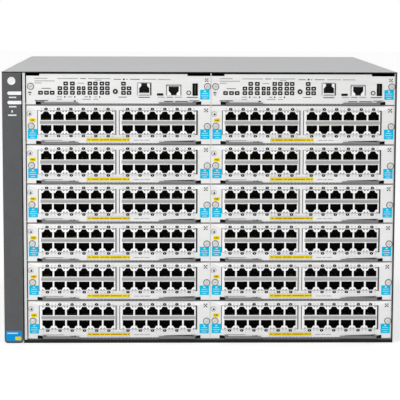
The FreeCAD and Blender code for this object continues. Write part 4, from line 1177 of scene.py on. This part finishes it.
rings = grown("guard rings", guard_tree(), {
    "Material": wire_steel, "Rings": RINGS, "First Radius": RING_FIRST * MM, "Step": RING_STEP * MM,
    "Wire Radius": WIRE_R * MM,
})
rings.transform(Matrix.Rotation(math.pi / 2, 4, "X"))
guard_r = RING_FIRST + (RINGS - 1) * RING_STEP + SPOKE_PAST
spoke = boxed("guard spoke", (RING_FIRST - guard_r, -WIRE_R, -WIRE_R), (0, WIRE_R, WIRE_R), wire_steel, 0.3)
spokes = ring_of(spoke, 4, guard_r)
spokes.transform(Matrix.Rotation(math.radians(45), 4, "Y"))
guard_screw = turned("guard screw", [(2.4, 0), (2.3, 1.6), (1.2, 3.4), (0, 3.6)], screw_steel, 20)
screw_out = guard_r * math.sqrt(0.5)
guard = [(rings, (0, WIRE_UP, 0)), (spokes, (0, WIRE_UP + 1.5, 0))]
guard += [(guard_screw, (x, 0, z)) for x in (-screw_out, screw_out) for z in (-screw_out, screw_out)]
one_guard = gathered("fan guard", guard)
both_guards = gathered("fan guards", [(one_guard, (x, rear_face, FAN_Z)) for x in (-FAN_X, FAN_X)])
fit("fan_guards", both_guards, "fan_tray")
fit("tray_screws", gathered("tray screws", [
    (captive, moved(x, rear_face, z) @ Matrix.Rotation(math.pi, 4, "Z"))
    for x in (tray_low.x + TRAY_SCREW_IN, tray_high.x - TRAY_SCREW_IN)
    for z in (FAN_Z - TRAY_SCREW_OUT, FAN_Z + TRAY_SCREW_OUT)
]), "fan_tray")


# ---- Fan rotors
# A hub and its blades are moulded in one piece from black plastic and turn on the motor in the frame.
# Each hub wears a plain paper disc.
hub_paper = ink("Hub Paper", (0.55, 0.56, 0.57), 0.5)
for number in (1, 2):
    rotor = f"fan_rotor_{number}"
    paint(rotor, fan_black)
    low, high = box(rotor)
    disc = turned("hub disc", [(-0.1, 0), (-0.1, 20), (0, 20.2)], hub_paper, 32)
    hub = ((low.x + high.x) / 2, low.y, (low.z + high.z) / 2)
    fit(f"hub_disc_{number}", gathered("hub disc", [(disc, hub)]), rotor)


# ---- Floor, light and camera
# A plain pale floor under the chassis, soft light from the upper left, and a long lens a little above
# the modules' level.
FLOOR_HALF, FLOOR_T = 9000, 20


def seen_level(tree, unseen, seen):
    """A level that is higher for rays from the camera, a mirror surface or glass."""
    path = tree.nodes.new("ShaderNodeLightPath").outputs
    either = reckoned(tree, "MAXIMUM", path["Is Camera Ray"], path["Is Glossy Ray"])
    any_of = reckoned(tree, "MAXIMUM", either, path["Is Transmission Ray"])
    return ranged(tree, any_of, unseen, seen, 0, 1)


floor_paint = bpy.data.materials.new("Pale Floor")
floor_paint.use_nodes = True
floor_tree = floor_paint.node_tree
floor_shader = floor_tree.nodes["Principled BSDF"]
floor_shader.inputs["Base Color"].default_value = (0.93, 0.93, 0.93, 1)
floor_shader.inputs["Roughness"].default_value = 0.9
floor_shader.inputs["Emission Color"].default_value = (1, 1, 1, 1)
floor_tree.links.new(seen_level(floor_tree, 0, 0.42), floor_shader.inputs["Emission Strength"])

slab_edge = oblong(-FLOOR_HALF, -FLOOR_HALF, FLOOR_HALF, FLOOR_HALF)
slab = drilled("floor", slab_edge, [], -FLOOR_T, 0, floor_paint)
slab.transform(Matrix.Rotation(math.pi / 2, 4, "X"))
floor = bpy.data.objects.new("floor", slab)
bpy.context.scene.collection.objects.link(floor)

world = bpy.data.worlds.new("Studio")
bpy.context.scene.world = world
world.use_nodes = True
sky = world.node_tree.nodes["Background"]
sky.inputs["Color"].default_value = (1, 1, 1, 1)
world.node_tree.links.new(seen_level(world.node_tree, 0.55, 1.0), sky.inputs["Strength"])


def softbox(name, place, aim, side, watts):
    """A square lamp at a place, turned to an aim, in metres."""
    lamp = bpy.data.lights.new(name, "AREA")
    lamp.shape, lamp.size, lamp.size_y, lamp.energy = "RECTANGLE", side, side, watts
    holder = bpy.data.objects.new(name, lamp)
    bpy.context.scene.collection.objects.link(holder)
    holder.location = place
    holder.rotation_euler = (Vector(aim) - Vector(place)).to_track_quat("-Z", "Y").to_euler()


softbox("key", (-1.15, -1.6, 1.2), (-0.1, -0.1, 0.15), 1.2, 13.5)
softbox("fill", (1.6, -1.6, 0.9), (0, -0.1, 0.15), 1.2, 1.0)

CAMERA_DOWN, CAMERA_ROLL, CAMERA_SIDE = 7.14, -0.19, -1.3       # degrees
camera = bpy.data.objects.new("camera", bpy.data.cameras.new("camera"))
bpy.context.scene.collection.objects.link(camera)
camera.data.lens, camera.data.sensor_width = 150.4, 36
camera.location = (-0.043, -2.10445, 0.4005)
camera.rotation_euler = [math.radians(a) for a in (90 - CAMERA_DOWN, CAMERA_ROLL, CAMERA_SIDE)]
bpy.context.scene.camera = camera

bpy.context.scene.view_settings.view_transform = "Standard"
